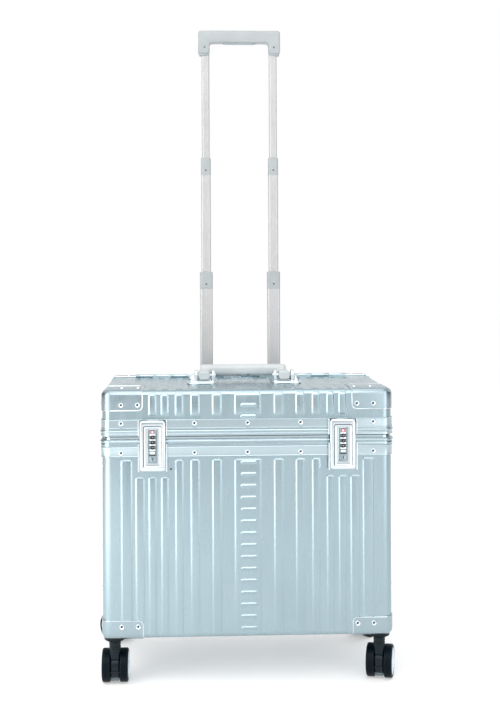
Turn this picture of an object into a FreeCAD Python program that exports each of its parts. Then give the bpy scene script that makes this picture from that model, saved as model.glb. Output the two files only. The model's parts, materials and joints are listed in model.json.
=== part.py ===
import FreeCAD, Part
import os
import re

import Sketcher
from FreeCAD import Placement, Rotation, Vector

# Hard shell suitcase on four swivelling twin-wheel casters, lid closed and trolley pulled out.
# Millimetres. Z is up from the floor, the front faces -Y, and left is -X.

SIDES = (("left", -1), ("right", 1))

SIZES = {
    # case
    "case_width": 445,
    "front_y": -120,
    "rear_y": 130,
    "case_bottom": 76,
    "case_top": 454,
    "corner_radius": 14,
    "edge_radius": 8,
    "wall": 2,
    "parting": 382,
    "half_gap": 2.5,
    "lid_rear_y": 80,
    "lid_clearance": 0.4,
    # closing-edge frames, heights counted from the parting plane
    "frame_thick": 1.6,
    "lid_frame_height": 28.5,
    "body_frame_height": 29.5,
    "tongue_thick": 1.5,
    "tongue_down": 14,
    "tongue_up": 1.5,
    "lining_thick": 1.6,
    "lining_gap": 0.3,
    "lining_edge": 4,
    "partition_thick": 1.6,
    # corner guards
    "guard_thick": 1.5,
    "guard_width": 62,
    "lid_guard_height": 30,
    "body_guard_height": 28,
    # rivets
    "rivet_radius": 3.2,
    "rivet_crown": 1.8,
    "rivet_height": 1.3,
    "frame_rivet_inner": 81.2,
    "frame_rivet_outer": 193,
    "lid_rivet_rise": 22.3,
    "body_rivet_drop": 22.6,
    "guard_rivet_inner": 168,
    "guard_rivet_outer": 193,
    "lid_guard_rivet_drop": 21.6,
    "body_guard_rivet_rise": 19,
    "side_rivet_first": 150,
    "side_rivet_pitch": 62.5,
    "guard_rivet_near": 28.5,
    "guard_rivet_far": 52.5,
    "flank_rivet_middle": 100,
    "flank_rivet_rear": 180,
    "top_rivet_rear": 22,
    "seam_rivet_inset": 20,
    # latches, heights counted from the parting plane, depths out from the front
    "latch_x": 145,
    "lever_width": 40,
    "lever_top": 27,
    "lever_bottom": -49,
    "lever_back": 5.4,
    "lever_front": 12.4,
    "recess_width": 28,
    "recess_depth": 1.6,
    "insert_width": 15,
    "insert_top": 15.5,
    "insert_bottom": -37,
    "insert_front": 12,
    "latch_pivot_rise": 25.4,
    "latch_pivot_depth": 6.2,
    "pin_radius": 1,
    "running_gap": 0.05,
    "moving_gap": 0.4,
    "cut_past": 5,
    "recess_margin": 6,
    "pocket_half_width": 9,
    "pocket_depth": 3.2,
    "lug_slot_half_width": 4,
    "lug_slot_depth": 2.4,
    "lug_slot_low": 2,
    "lug_slot_high": 9,
    "latch_knuckle_radius": 2.1,
    "latch_knuckle_length": 9,
    "latch_web_depth": 3.4,
    "dial_radius": 4.5,
    "dial_height": 6.2,
    "dial_pitch": 7.7,
    "dial_top": 2.8,
    "dial_depth": 9.1,
    "shaft_radius": 0.8,
    "button_z": -21,
    "button_half_width": 4.5,
    "button_half_height": 2.2,
    "button_proud": 1.2,
    "button_depth": 3.4,
    "key_z": -30.5,
    "key_radius": 3.4,
    "key_length": 5.8,
    "keyway_half_width": 0.5,
    "keyway_half_height": 2.4,
    "keyway_depth": 3,
    "catch_top": -8,
    "catch_bottom": -50,
    "cheek_thick": 1.8,
    "cheek_front": 10,
    "backing_back": 3.2,
    "backing_front": 5,
    "backing_drop": 10,
    "strike_half_width": 3,
    "strike_thick": 1.8,
    "strike_low": 6,
    "strike_high": 8,
    "mount_half_width": 8,
    "mount_thick": 1.2,
    "mount_down": 4.6,
    "ear_radius": 2.2,
    "ear_thick": 3,
    "ear_root_up": 1.4,
    # lid hinge
    "hinge_radius": 3,
    "hinge_pin_radius": 1.3,
    "hinge_half_length": 180,
    "knuckle_length": 30,
    "leaf_thick": 1.2,
    "leaf_reach": 15,
    "leaf_from_axis": 4,
    "hinge_root_gap": 0.6,
    "hinge_root_height": 2.6,
    "hinge_rise": 0.4,
    "knuckle_gap": 0.4,
    # carry handle
    "carry_y": -17,
    "carry_rise": 13,
    "carry_arm_x": 65,
    "carry_arm_width": 19,
    "carry_arm_radius": 7,
    "carry_pin_radius": 2.5,
    "carry_ear_radius": 9,
    "carry_base_thick": 3,
    "carry_base_half_depth": 15,
    "carry_base_inner": 44.5,
    "carry_base_outer": 93.5,
    "carry_inner_ear_near": 45.5,
    "carry_inner_ear_far": 53,
    "carry_outer_ear_near": 77,
    "carry_outer_ear_far": 84,
    "carry_dome_rise": 9.5,
    "carry_dome_tip_radius": 5,
    "carry_dome_length": 7,
    "carry_pin_far": 90.5,
    "carry_pin_length": 44.5,
    "carry_bar_near": 25,
    "carry_bar_far": 43,
    "carry_bar_low": 9,
    "carry_bar_high": 28,
    # trolley
    "trolley_x": 58.5,
    "trolley_y": 113,
    "lower_width": 21.6,
    "lower_depth": 17,
    "middle_width": 16.6,
    "middle_depth": 13,
    "upper_width": 13.5,
    "upper_depth": 10,
    "lower_top": 634.5,
    "middle_top": 832,
    "upper_top": 1012.5,
    "trolley_top": 1052.5,
    "tube_overlap": 35,
    "tube_gap": 0.4,
    "sleeve_wall": 1.5,
    "upper_wall": 1.3,
    "outer_tube_foot": 4,
    "hole_gap": 0.5,
    "bezel_thick": 4,
    "bezel_beyond_tube": 18,
    "bezel_front": 14,
    "bezel_rear": 13,
    "grip_half_width": 71,
    "grip_leg_inner": 51.2,
    "grip_bar": 20.7,
    "grip_depth": 20,
    "grip_button_half": 28.5,
    "grip_button_width": 12,
    "grip_button_proud": 1.6,
    "grip_button_deep": 2.4,
    "grip_slot_depth": 6,
    # casters
    "caster_x": 205,
    "caster_front_y": -97,
    "caster_rear_y": 102,
    "wheel_radius": 25.4,
    "wheel_inner": 7.2,
    "wheel_outer": 20.3,
    "wheel_trail": 12,
    "axle_radius": 3,
    "fork_half_width": 6.7,
    "neck_radius": 9.2,
    "neck_top": 67.2,
    "spindle_radius": 4,
    "spindle_length": 6.3,
    "spindle_head_room": 1,
    "housing_low": 67.5,
    "housing_radius": 16.5,
    "housing_cone": 2.5,
    "angle_front_left": 0,
    "angle_front_right": -16,
    "angle_rear_left": 45,
    "angle_rear_right": -45,
}

# Raised beads along the frames: low edge, high edge (from the parting plane) and how far they stand out.
LID_BEADS = ((4.2, 6.4, 2.4), (8.5, 12, 3.2), (13.6, 15.4, 2.2))
BODY_BEADS = ((-6.8, -3.4, 3.2), (-11, -8.8, 2.4), (-17.4, -13.8, 2.6))

doc = FreeCAD.newDocument("hard_shell_suitcase")
sheet = doc.addObject("Spreadsheet::Sheet", "sizes")
for row, (alias, value) in enumerate(SIZES.items(), 1):
    sheet.set(f"A{row}", alias)
    sheet.set(f"B{row}", str(value))
    sheet.setAlias(f"B{row}", alias)
doc.recompute()

sub_parts = []


# ---------------------------------------------------------------- helpers


def cells(expression):
    """The same expression with every size name pointing at its spreadsheet cell."""
    return re.sub(
        r"[a-z]\w*",
        lambda word: "sizes." + word.group() if word.group() in SIZES else word.group(),
        str(expression),
    )


def sub_part(item, label):
    item.Label = label
    sub_parts.append(item)
    return item


def box(label, x, y, z):
    """A plain box between two expressions on each axis."""
    item = doc.addObject("Part::Box", label)
    for size, axis, (low, high) in (("Length", "x", x), ("Width", "y", y), ("Height", "z", z)):
        item.setExpression(size, cells(f"({high}) - ({low})"))
        item.setExpression(f"Placement.Base.{axis}", cells(low))
    return item


AXES = {"x": Vector(1, 0, 0), "y": Vector(0, 1, 0), "z": Vector(0, 0, 1)}


def place(item, base, direction):
    """Stands a round primitive on a point, along a direction."""
    item.Placement = Placement(Vector(), Rotation(Vector(0, 0, 1), direction))
    for axis, expression in zip("xyz", base):
        item.setExpression(f"Placement.Base.{axis}", cells(expression))
    return item


def rod(label, radius, length, base, along):
    item = doc.addObject("Part::Cylinder", label)
    item.setExpression("Radius", cells(radius))
    item.setExpression("Height", cells(length))
    return place(item, base, AXES[along])


def cone(label, base_radius, top_radius, length, base, direction):
    item = doc.addObject("Part::Cone", label)
    item.setExpression("Radius1", cells(base_radius))
    item.setExpression("Radius2", cells(top_radius))
    item.setExpression("Height", cells(length))
    return place(item, base, direction)


def fuse(label, *items):
    item = doc.addObject("Part::MultiFuse", label)
    item.Shapes = list(items)
    item.Refine = True
    return item


def cut(label, base, *tools):
    item = doc.addObject("Part::Cut", label)
    item.Base = base
    item.Tool = tools[0] if len(tools) == 1 else fuse(label + "_tools", *tools)
    item.Refine = True
    return item


def common(label, base, tool):
    item = doc.addObject("Part::Common", label)
    item.Base = base
    item.Tool = tool
    item.Refine = True
    return item


def group(label, items):
    """Identical separate solids kept together."""
    item = doc.addObject("Part::Compound", label)
    item.Links = list(items)
    return item


def origin_plane(body, role):
    return next(plane for plane in body.Origin.OriginFeatures if plane.Role == role)


def rectangle(sketch, width, height):
    """A rectangle from the sketch's origin, with its two sizes bound to expressions."""
    corners = [Vector(0, 0, 0), Vector(10, 0, 0), Vector(10, 10, 0), Vector(0, 10, 0)]
    for start, end in zip(corners, corners[1:] + corners[:1]):
        sketch.addGeometry(Part.LineSegment(start, end), False)
    for line in range(4):
        sketch.addConstraint(Sketcher.Constraint("Coincident", line, 2, (line + 1) % 4, 1))
    for line in (0, 2):
        sketch.addConstraint(Sketcher.Constraint("Horizontal", line))
    for line in (1, 3):
        sketch.addConstraint(Sketcher.Constraint("Vertical", line))
    sketch.addConstraint(Sketcher.Constraint("Coincident", 0, 1, -1, 1))
    across = sketch.addConstraint(Sketcher.Constraint("DistanceX", 0, 1, 0, 2, 10))
    sketch.setExpression(f"Constraints[{across}]", cells(width))
    upward = sketch.addConstraint(Sketcher.Constraint("DistanceY", 1, 1, 1, 2, 10))
    sketch.setExpression(f"Constraints[{upward}]", cells(height))


def edge_names(shape, wanted):
    return [f"Edge{number}" for number, edge in enumerate(shape.Edges, 1) if wanted(edge)]


def round_edges(body, name, base, edges, radius):
    fillet = body.newObject("PartDesign::Fillet", name)
    fillet.Base = (base, edges)
    fillet.setExpression("Radius", cells(radius))
    body.Tip = fillet
    doc.recompute()
    return fillet


# padding direction: the origin plane, the sketch's two axes, and the sign of the plane's normal
PLANES = {
    "z": ("XY_Plane", "x", "y", ""),
    "y": ("XZ_Plane", "x", "z", "-"),
    "x": ("YZ_Plane", "y", "z", ""),
}


def slab(label, x, y, z, along="z", corner=None, low_rim=None, high_rim=None):
    """A padded rectangle: corners rounded round its length, and its two end rims rounded."""
    limits = {"x": x, "y": y, "z": z}
    plane, across, upward, sign = PLANES[along]
    body = doc.addObject("PartDesign::Body", label)
    sketch = body.newObject("Sketcher::SketchObject", label + "_outline")
    sketch.AttachmentSupport = [(origin_plane(body, plane), "")]
    sketch.MapMode = "FlatFace"
    sketch.setExpression("AttachmentOffset.Base.x", cells(limits[across][0]))
    sketch.setExpression("AttachmentOffset.Base.y", cells(limits[upward][0]))
    sketch.setExpression("AttachmentOffset.Base.z", cells(f"{sign}({limits[along][0]})"))
    spans = {axis: f"({high}) - ({low})" for axis, (low, high) in limits.items()}
    rectangle(sketch, spans[across], spans[upward])
    pad = body.newObject("PartDesign::Pad", label + "_pad")
    pad.Profile = sketch
    pad.Reversed = along == "y"
    pad.setExpression("Length", cells(spans[along]))
    body.Tip = pad
    doc.recompute()
    index = "xyz".index(along)
    last = pad
    if corner is not None:
        lengthwise = edge_names(
            last.Shape,
            lambda edge: abs(edge.Vertexes[0].Point[index] - edge.Vertexes[-1].Point[index]) > 0.1,
        )
        last = round_edges(body, label + "_corners", last, lengthwise, corner)
    for name, rim, end in (("low", low_rim, min), ("high", high_rim, max)):
        if rim is None:
            continue
        level = end(vertex.Point[index] for vertex in last.Shape.Vertexes)
        around = edge_names(
            last.Shape,
            lambda edge: all(abs(v.Point[index] - level) < 0.01 for v in edge.Vertexes),
        )
        last = round_edges(body, f"{label}_{name}_rim", last, around, rim)
    return body


def grown(low, high, grow):
    return (f"{low} - ({grow})", f"{high} + ({grow})")


def case_block(label, grow, z=None, rims=True):
    """The case's outside, grown outwards by an offset."""
    return slab(
        label,
        grown("-case_width / 2", "case_width / 2", grow),
        grown("front_y", "rear_y", grow),
        z or grown("case_bottom", "case_top", grow),
        corner=f"corner_radius + ({grow})",
        low_rim=f"edge_radius + ({grow})" if rims else None,
        high_rim=f"edge_radius + ({grow})" if rims else None,
    )


FAR = 40  # how far cutting boxes reach past the case
ALL_X = (f"-case_width / 2 - {FAR}", f"case_width / 2 + {FAR}")
LID_Y = (f"front_y - {FAR}", "lid_rear_y - lid_clearance")
DECK_Y = ("lid_rear_y", f"rear_y + {FAR}")
ABOVE = ("parting + half_gap", f"case_top + {FAR}")

# ---------------------------------------------------------------- shells

case_outer = case_block("case_outer", "0")
case_inner = case_block("case_inner", "-wall")
hollow_case = cut("hollow_case", case_outer, case_inner)

lid_space = box("lid_space", ALL_X, (f"front_y - {FAR}", "lid_rear_y"), ("parting - half_gap", ABOVE[1]))
TUBE_HOLE_Y = ("trolley_y - lower_depth / 2 - hole_gap", "trolley_y + lower_depth / 2 + hole_gap")


def tube_hole_x(sign):
    half = "(lower_width / 2 + hole_gap)"
    return (f"{sign} * trolley_x - {half}", f"{sign} * trolley_x + {half}")


tube_holes = [
    box(f"tube_hole_{side}", tube_hole_x(sign), TUBE_HOLE_Y, ("case_top - 20", "case_top + 20"))
    for side, sign in SIDES
]
sub_part(cut("body_shell_solid", hollow_case, lid_space, *tube_holes), "body_shell")

lid_zone = box("lid_zone", ALL_X, LID_Y, ABOVE)
lid_skin = common("lid_skin", hollow_case, lid_zone)
lid_back_zone = box(
    "lid_back_zone", ALL_X, ("lid_rear_y - lid_clearance - wall", "lid_rear_y - lid_clearance"), ABOVE
)
lid_back = common("lid_back", case_inner, lid_back_zone)
sub_part(fuse("lid_shell_solid", lid_skin, lid_back), "lid_shell")

PARTITION_Y = ("lid_rear_y", "lid_rear_y + partition_thick")
partition_zone = box("partition_zone", ALL_X, PARTITION_Y, ("0", f"case_top + {FAR}"))
sub_part(common("rear_partition_solid", case_inner, partition_zone), "rear_partition")

# ---------------------------------------------------------------- closing-edge frames


def frame_ring(label, low, high, beads):
    """A band round the case with raised beads along it."""
    bands = [(low, high, "frame_thick")]
    bands += [(f"parting + ({bottom})", f"parting + ({top})", out) for bottom, top, out in beads]
    levels = [
        case_block(f"{label}_band{number}", out, z=(bottom, top), rims=False)
        for number, (bottom, top, out) in enumerate(bands)
    ]
    return cut(label, fuse(label + "_bands", *levels), case_outer)


upper_ring = frame_ring("upper_ring", "parting + half_gap", "parting + lid_frame_height", LID_BEADS)
sub_part(common("lid_frame_solid", upper_ring, lid_zone), "lid_frame")
deck_zone = box("deck_zone", ALL_X, DECK_Y, ("0", ABOVE[1]))
sub_part(common("deck_frame_solid", upper_ring, deck_zone), "deck_frame")
sub_part(
    frame_ring("body_frame_solid", "parting - body_frame_height", "parting - half_gap", BODY_BEADS),
    "body_frame",
)

tongue_z = ("parting - tongue_down", "parting + tongue_up")
tongue_outside = case_block("tongue_outside", "-wall", z=tongue_z, rims=False)
tongue_inside = case_block("tongue_inside", "-wall - tongue_thick", z=tongue_z, rims=False)
tongue_ring = cut("tongue_ring", tongue_outside, tongue_inside)
open_front = box("open_front", ALL_X, (f"front_y - {FAR}", "lid_rear_y"), ("0", ABOVE[1]))
sub_part(common("rim_tongue_solid", tongue_ring, open_front), "rim_tongue")

# ---------------------------------------------------------------- linings


def lining(label, inset, rear, z, floor_low):
    """An open tray of board and cloth; the floor is at the low end, or at the high end in the lid."""
    def walls(name, grow, z_limits):
        return slab(
            name,
            (f"-case_width / 2 + {inset} + {grow}", f"case_width / 2 - ({inset} + {grow})"),
            (f"front_y + {inset} + {grow}", f"{rear} - {grow}"),
            z_limits,
            corner=f"corner_radius - {inset}",
            low_rim=f"edge_radius - {inset} + lining_gap" if floor_low else None,
            high_rim=None if floor_low else f"edge_radius - {inset} + lining_gap",
        )

    low, high = z
    open_end = 10
    inner_z = (f"{low} + lining_thick", f"{high} + {open_end}")
    if not floor_low:
        inner_z = (f"{low} - {open_end}", f"{high} - lining_thick")
    return cut(label, walls(label + "_outside", "0", z), walls(label + "_inside", "lining_thick", inner_z))


sub_part(
    lining(
        "body_lining_solid",
        "(wall + tongue_thick + lining_gap)",
        "lid_rear_y - lining_gap",
        ("case_bottom + wall + lining_gap", "parting - lining_edge"),
        True,
    ),
    "body_lining",
)
sub_part(
    lining(
        "lid_lining_solid",
        "(wall + 2 * lining_gap)",
        "lid_rear_y - lid_clearance - wall - lining_gap",
        ("parting + lining_edge", "case_top - wall - 2 * lining_gap"),
        False,
    ),
    "lid_lining",
)

# ---------------------------------------------------------------- corner guards

guard_skin = cut("guard_skin", case_block("guard_outer", "guard_thick"), case_outer)
FRONT_GUARD_Y = (f"front_y - {FAR}", "front_y + guard_width")
REAR_GUARD_Y = ("rear_y - guard_width", f"rear_y + {FAR}")
LOW_GUARD_Z = ("0", "case_bottom + body_guard_height")
HIGH_GUARD_Z = ("case_top - lid_guard_height", f"case_top + {FAR}")


def guard(name, sign, y, z):
    near, far = "case_width / 2 - guard_width", f"case_width / 2 + {FAR}"
    x = (near, far) if sign > 0 else (f"-({far})", f"-({near})")
    return common(name + "_solid", guard_skin, box(name + "_corner", x, y, z))


for side, sign in SIDES:
    for end, y in (("front", FRONT_GUARD_Y), ("rear", REAR_GUARD_Y)):
        name = f"bottom_guard_{end}_{side}"
        sub_part(guard(name, sign, y, LOW_GUARD_Z), name)
    sub_part(guard(f"lid_guard_{side}", sign, FRONT_GUARD_Y, HIGH_GUARD_Z), f"lid_guard_{side}")
DECK_GUARD_Y = ("lid_rear_y + leaf_reach + 1", f"rear_y + {FAR}")
deck_guards = [guard(f"deck_guard_{side}", sign, DECK_GUARD_Y, HIGH_GUARD_Z) for side, sign in SIDES]
sub_part(group("deck_guards_solid", deck_guards), "deck_guards")

# ---------------------------------------------------------------- rivets

FRONT = Vector(0, -1, 0)
REAR = Vector(0, 1, 0)
UP = Vector(0, 0, 1)


def rivets(label, spots):
    """Low round heads, each on a point of a surface and along its normal."""
    heads = [
        cone(f"{label}_head{number}", "rivet_radius", "rivet_crown", "rivet_height", point, normal)
        for number, (point, normal) in enumerate(spots)
    ]
    return group(label, heads)


def across(y, z, normal, positions):
    """The same height on both sides of the middle."""
    return [((f"{sign} * {x}", y, z), normal) for x in positions for sign in (-1, 1)]


def flank(out, y_values, z_values):
    """On the left and right faces."""
    return [
        ((f"{sign} * (case_width / 2 + {out})", y, z), Vector(sign, 0, 0))
        for sign in (-1, 1)
        for y in y_values
        for z in z_values
    ]


FRAME_X = ("frame_rivet_inner", "frame_rivet_outer")
GUARD_X = ("guard_rivet_inner", "guard_rivet_outer")
LID_RIVET_Z = "parting + lid_rivet_rise"
BODY_RIVET_Z = "parting - body_rivet_drop"
LID_GUARD_Z = "case_top - lid_guard_rivet_drop"
BODY_GUARD_Z = "case_bottom + body_guard_rivet_rise"
FRONT_GUARD_RIVETS_Y = ("front_y + guard_rivet_near", "front_y + guard_rivet_far")
REAR_GUARD_RIVETS_Y = ("rear_y - guard_rivet_near", "rear_y - guard_rivet_far")

lid_spots = [(("0", "front_y - frame_thick", LID_RIVET_Z), FRONT)]
lid_spots += across("front_y - frame_thick", LID_RIVET_Z, FRONT, FRAME_X)
lid_spots += across("front_y - guard_thick", LID_GUARD_Z, FRONT, GUARD_X)
lid_spots += across("front_y + guard_rivet_near", "case_top + guard_thick", UP, GUARD_X)
lid_spots += flank("guard_thick", FRONT_GUARD_RIVETS_Y, (LID_GUARD_Z,))
FRONT_FLANK_Y = ("front_y + guard_rivet_near", "front_y + flank_rivet_middle")
lid_spots += flank("frame_thick", FRONT_FLANK_Y + ("front_y + flank_rivet_rear",), (LID_RIVET_Z,))
sub_part(rivets("lid_rivets_solid", lid_spots), "lid_rivets")

SEAM_Z = [f"side_rivet_first + {number} * side_rivet_pitch" for number in range(4)]
body_spots = []
for y, out, normal in (("front_y", "-", FRONT), ("rear_y", "+", REAR)):
    body_spots += [((("0", f"{y} {out} frame_thick", BODY_RIVET_Z)), normal)]
    body_spots += across(f"{y} {out} frame_thick", BODY_RIVET_Z, normal, FRAME_X)
    body_spots += across(f"{y} {out} guard_thick", BODY_GUARD_Z, normal, GUARD_X)
body_spots += [(("0", "rear_y + frame_thick", LID_RIVET_Z), REAR)]
body_spots += across("rear_y + frame_thick", LID_RIVET_Z, REAR, FRAME_X)
body_spots += across("rear_y + guard_thick", LID_GUARD_Z, REAR, GUARD_X)
body_spots += across("rear_y - top_rivet_rear", "case_top + guard_thick", UP, GUARD_X)
body_spots += flank("guard_thick", FRONT_GUARD_RIVETS_Y + REAR_GUARD_RIVETS_Y, (BODY_GUARD_Z,))
body_spots += flank("frame_thick", FRONT_FLANK_Y + ("rear_y - guard_rivet_near",), (BODY_RIVET_Z,))
body_spots += flank("0", ("front_y + seam_rivet_inset", "rear_y - seam_rivet_inset"), SEAM_Z)
sub_part(rivets("body_rivets_solid", body_spots), "body_rivets")

# ---------------------------------------------------------------- latches


def out(depth):
    """A Y position at a depth in front of the front face."""
    return f"front_y - ({depth})"


def rise(height):
    """A Z position counted from the parting plane."""
    return f"parting + ({height})"


def latch_x(sign, low, high):
    return (f"{sign} * latch_x + ({low})", f"{sign} * latch_x + ({high})")


def centred(sign, half):
    return latch_x(sign, f"-({half})", half)


def dial_middle(number):
    return f"dial_top - {number} * dial_pitch"


def build_lever(side, sign):
    name = f"latch_lever_{side}"
    plate = slab(
        name + "_plate",
        centred(sign, "lever_width / 2"),
        (out("lever_front"), out("lever_back")),
        (rise("lever_bottom"), rise("lever_top")),
        along="y",
        corner="4",
        low_rim="1.6",
    )
    recess = slab(
        name + "_recess",
        centred(sign, "recess_width / 2"),
        (out("lever_front + cut_past"), out("lever_front - recess_depth")),
        (rise("insert_bottom - recess_margin"), rise("insert_top + recess_margin")),
        along="y",
        corner="3",
    )
    window = box(
        name + "_window",
        centred(sign, "insert_width / 2"),
        (out("lever_front + cut_past"), out("lever_back - cut_past")),
        (rise("insert_bottom"), rise("insert_top")),
    )
    pocket = box(
        name + "_pocket",
        centred(sign, "pocket_half_width"),
        (out("lever_back + pocket_depth"), out("lever_back - cut_past")),
        (rise("latch_pivot_rise - cut_past"), rise("lever_top + cut_past")),
    )
    lug_slot = box(
        name + "_lug_slot",
        centred(sign, "lug_slot_half_width"),
        (out("lever_back + lug_slot_depth"), out("lever_back - cut_past")),
        (rise("lever_bottom + lug_slot_low"), rise("lever_bottom + lug_slot_high")),
    )
    knuckle = rod(
        name + "_knuckle",
        "latch_knuckle_radius",
        "latch_knuckle_length",
        (
            f"{sign} * latch_x - latch_knuckle_length / 2",
            out("latch_pivot_depth"),
            rise("latch_pivot_rise"),
        ),
        "x",
    )
    web = box(
        name + "_web",
        centred(sign, "latch_knuckle_length / 2"),
        (out("lever_back + latch_web_depth"), out("latch_pivot_depth")),
        (
            rise("latch_pivot_rise - latch_knuckle_radius"),
            rise("latch_pivot_rise + latch_knuckle_radius"),
        ),
    )
    bore = rod(
        name + "_bore",
        "pin_radius + running_gap",
        "12",
        (f"{sign} * latch_x - 6", out("latch_pivot_depth"), rise("latch_pivot_rise")),
        "x",
    )
    hollowed = cut(name + "_hollowed", plate, recess, window, pocket, lug_slot)
    sub_part(cut(name + "_solid", fuse(name + "_whole", hollowed, knuckle, web), bore), name)


def build_insert(side, sign):
    name = f"lock_insert_{side}"
    plate = box(
        name + "_plate",
        centred(sign, "insert_width / 2"),
        (out("insert_front"), out("lever_back + moving_gap")),
        (rise("insert_bottom"), rise("insert_top")),
    )
    dial_slot = box(
        name + "_dial_slot",
        centred(sign, "dial_radius + moving_gap"),
        (out("insert_front + cut_past"), out("lever_back - cut_past")),
        (
            rise(f"{dial_middle(2)} - dial_height / 2 - moving_gap"),
            rise("dial_top + dial_height / 2 + moving_gap"),
        ),
    )
    button_slot = box(
        name + "_button_slot",
        centred(sign, "button_half_width + moving_gap"),
        (out("insert_front + cut_past"), out("lever_back - cut_past")),
        (
            rise("button_z - button_half_height - moving_gap"),
            rise("button_z + button_half_height + moving_gap"),
        ),
    )
    key_bore = rod(
        name + "_key_bore",
        "key_radius + running_gap",
        "20",
        (f"{sign} * latch_x", out("insert_front + cut_past"), rise("key_z")),
        "y",
    )
    shaft = rod(
        name + "_shaft",
        "shaft_radius",
        "3 * dial_pitch + 1",
        (f"{sign} * latch_x", out("dial_depth"), rise(f"{dial_middle(2)} - dial_height / 2 - 1.2")),
        "z",
    )
    slotted = cut(name + "_slotted", plate, dial_slot, button_slot, key_bore)
    sub_part(fuse(name + "_solid", slotted, shaft), name)


def build_dials(side, sign):
    for number in range(3):
        name = f"dial_{side}_{number + 1}"
        base = (
            f"{sign} * latch_x",
            out("dial_depth"),
            rise(f"{dial_middle(number)} - dial_height / 2"),
        )
        wheel = rod(name + "_wheel", "dial_radius", "dial_height", base, "z")
        bore = rod(name + "_bore", "shaft_radius + running_gap", "dial_height", base, "z")
        sub_part(cut(name + "_solid", wheel, bore), name)


def build_controls(side, sign):
    button = slab(
        f"latch_button_{side}_bar",
        centred(sign, "button_half_width"),
        (out("insert_front + button_proud"), out("insert_front - button_depth")),
        (rise("button_z - button_half_height"), rise("button_z + button_half_height")),
        along="y",
        corner="1",
    )
    sub_part(button, f"latch_button_{side}")
    name = f"key_cylinder_{side}"
    barrel = rod(
        name + "_barrel",
        "key_radius",
        "key_length",
        (f"{sign} * latch_x", out("insert_front + 0.2"), rise("key_z")),
        "y",
    )
    keyway = box(
        name + "_keyway",
        centred(sign, "keyway_half_width"),
        (out("insert_front + 1"), out("insert_front - keyway_depth")),
        (rise("key_z - keyway_half_height"), rise("key_z + keyway_half_height")),
    )
    sub_part(cut(name + "_solid", barrel, keyway), name)


CHEEK_OUTSIDE = "lever_width / 2 + moving_gap + cheek_thick"


def latch_backing(side, sign):
    """The body's plate behind the lever, on a spacer that clears the frame's beads."""
    name = f"latch_backing_{side}"
    plate = box(
        name + "_plate",
        centred(sign, CHEEK_OUTSIDE),
        (out("backing_front"), out("backing_back")),
        (rise("catch_bottom"), rise("catch_top - backing_drop")),
    )
    spacer = box(
        name + "_spacer",
        centred(sign, "lever_width / 2 - 2"),
        (out("backing_back"), out("0")),
        (rise("catch_bottom"), rise("-body_frame_height")),
    )
    return fuse(name, plate, spacer)


def latch_cheeks(side, sign):
    """The two rails that the closed lever lies between."""
    return [
        box(
            f"latch_cheek_{side}_{number}",
            latch_x(sign, low, high),
            (out("cheek_front"), out("backing_front")),
            (rise("catch_bottom"), rise("catch_top")),
        )
        for number, (low, high) in enumerate(
            (
                (f"-({CHEEK_OUTSIDE})", f"-({CHEEK_OUTSIDE}) + cheek_thick"),
                (f"{CHEEK_OUTSIDE} - cheek_thick", CHEEK_OUTSIDE),
            )
        )
    ]


def latch_strike(side, sign):
    """The lug that the closed lever's slot drops over."""
    return box(
        f"latch_strike_{side}",
        centred(sign, "strike_half_width"),
        (out("backing_front + strike_thick"), out("backing_front")),
        (rise("lever_bottom + strike_low"), rise("lever_bottom + strike_high")),
    )


def latch_mount(side, sign):
    """The lid's part of the latch: a plate on the lid frame with two ears for the pin."""
    name = f"latch_mount_{side}"
    plate = box(
        name + "_plate",
        centred(sign, "mount_half_width"),
        (out("frame_thick + mount_thick"), out("frame_thick")),
        (rise("latch_pivot_rise - mount_down"), rise("latch_pivot_rise + ear_radius")),
    )
    pin_line = (out("latch_pivot_depth"), rise("latch_pivot_rise"))
    parts = [plate]
    for number, low in enumerate(("-mount_half_width", "mount_half_width - ear_thick")):
        ear_x = f"{sign} * latch_x + ({low})"
        parts.append(rod(f"{name}_ear{number}", "ear_radius", "ear_thick", (ear_x, *pin_line), "x"))
        parts.append(
            box(
                f"{name}_ear_root{number}",
                (ear_x, f"{ear_x} + ear_thick"),
                (out("latch_pivot_depth"), out("frame_thick + mount_thick")),
                (rise("latch_pivot_rise - ear_radius"), rise("latch_pivot_rise + ear_root_up")),
            )
        )
    bore = rod(name + "_bore", "pin_radius", "20", (f"{sign} * latch_x - 10", *pin_line), "x")
    return cut(name, fuse(name + "_whole", *parts), bore)


for side, sign in SIDES:
    build_lever(side, sign)
    build_insert(side, sign)
    build_dials(side, sign)
    build_controls(side, sign)
backings = [latch_backing(side, sign) for side, sign in SIDES]
sub_part(group("latch_backings_solid", backings), "latch_backings")
cheeks = [cheek for side, sign in SIDES for cheek in latch_cheeks(side, sign)]
sub_part(group("latch_cheeks_solid", cheeks), "latch_cheeks")
sub_part(group("latch_strikes_solid", [latch_strike(side, sign) for side, sign in SIDES]), "latch_strikes")
sub_part(group("latch_mounts_solid", [latch_mount(side, sign) for side, sign in SIDES]), "latch_mounts")
latch_pins = [
    rod(
        f"latch_pin_{side}",
        "pin_radius",
        "2 * mount_half_width",
        (f"{sign} * latch_x - mount_half_width", out("latch_pivot_depth"), rise("latch_pivot_rise")),
        "x",
    )
    for side, sign in SIDES
]
sub_part(group("latch_pins_solid", latch_pins), "latch_pins")

# ---------------------------------------------------------------- lid hinge

HINGE_Y = "lid_rear_y - lid_clearance / 2"
HINGE_AXIS = (HINGE_Y, "case_top + hinge_radius + hinge_rise")
KNUCKLES = 12


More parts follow.
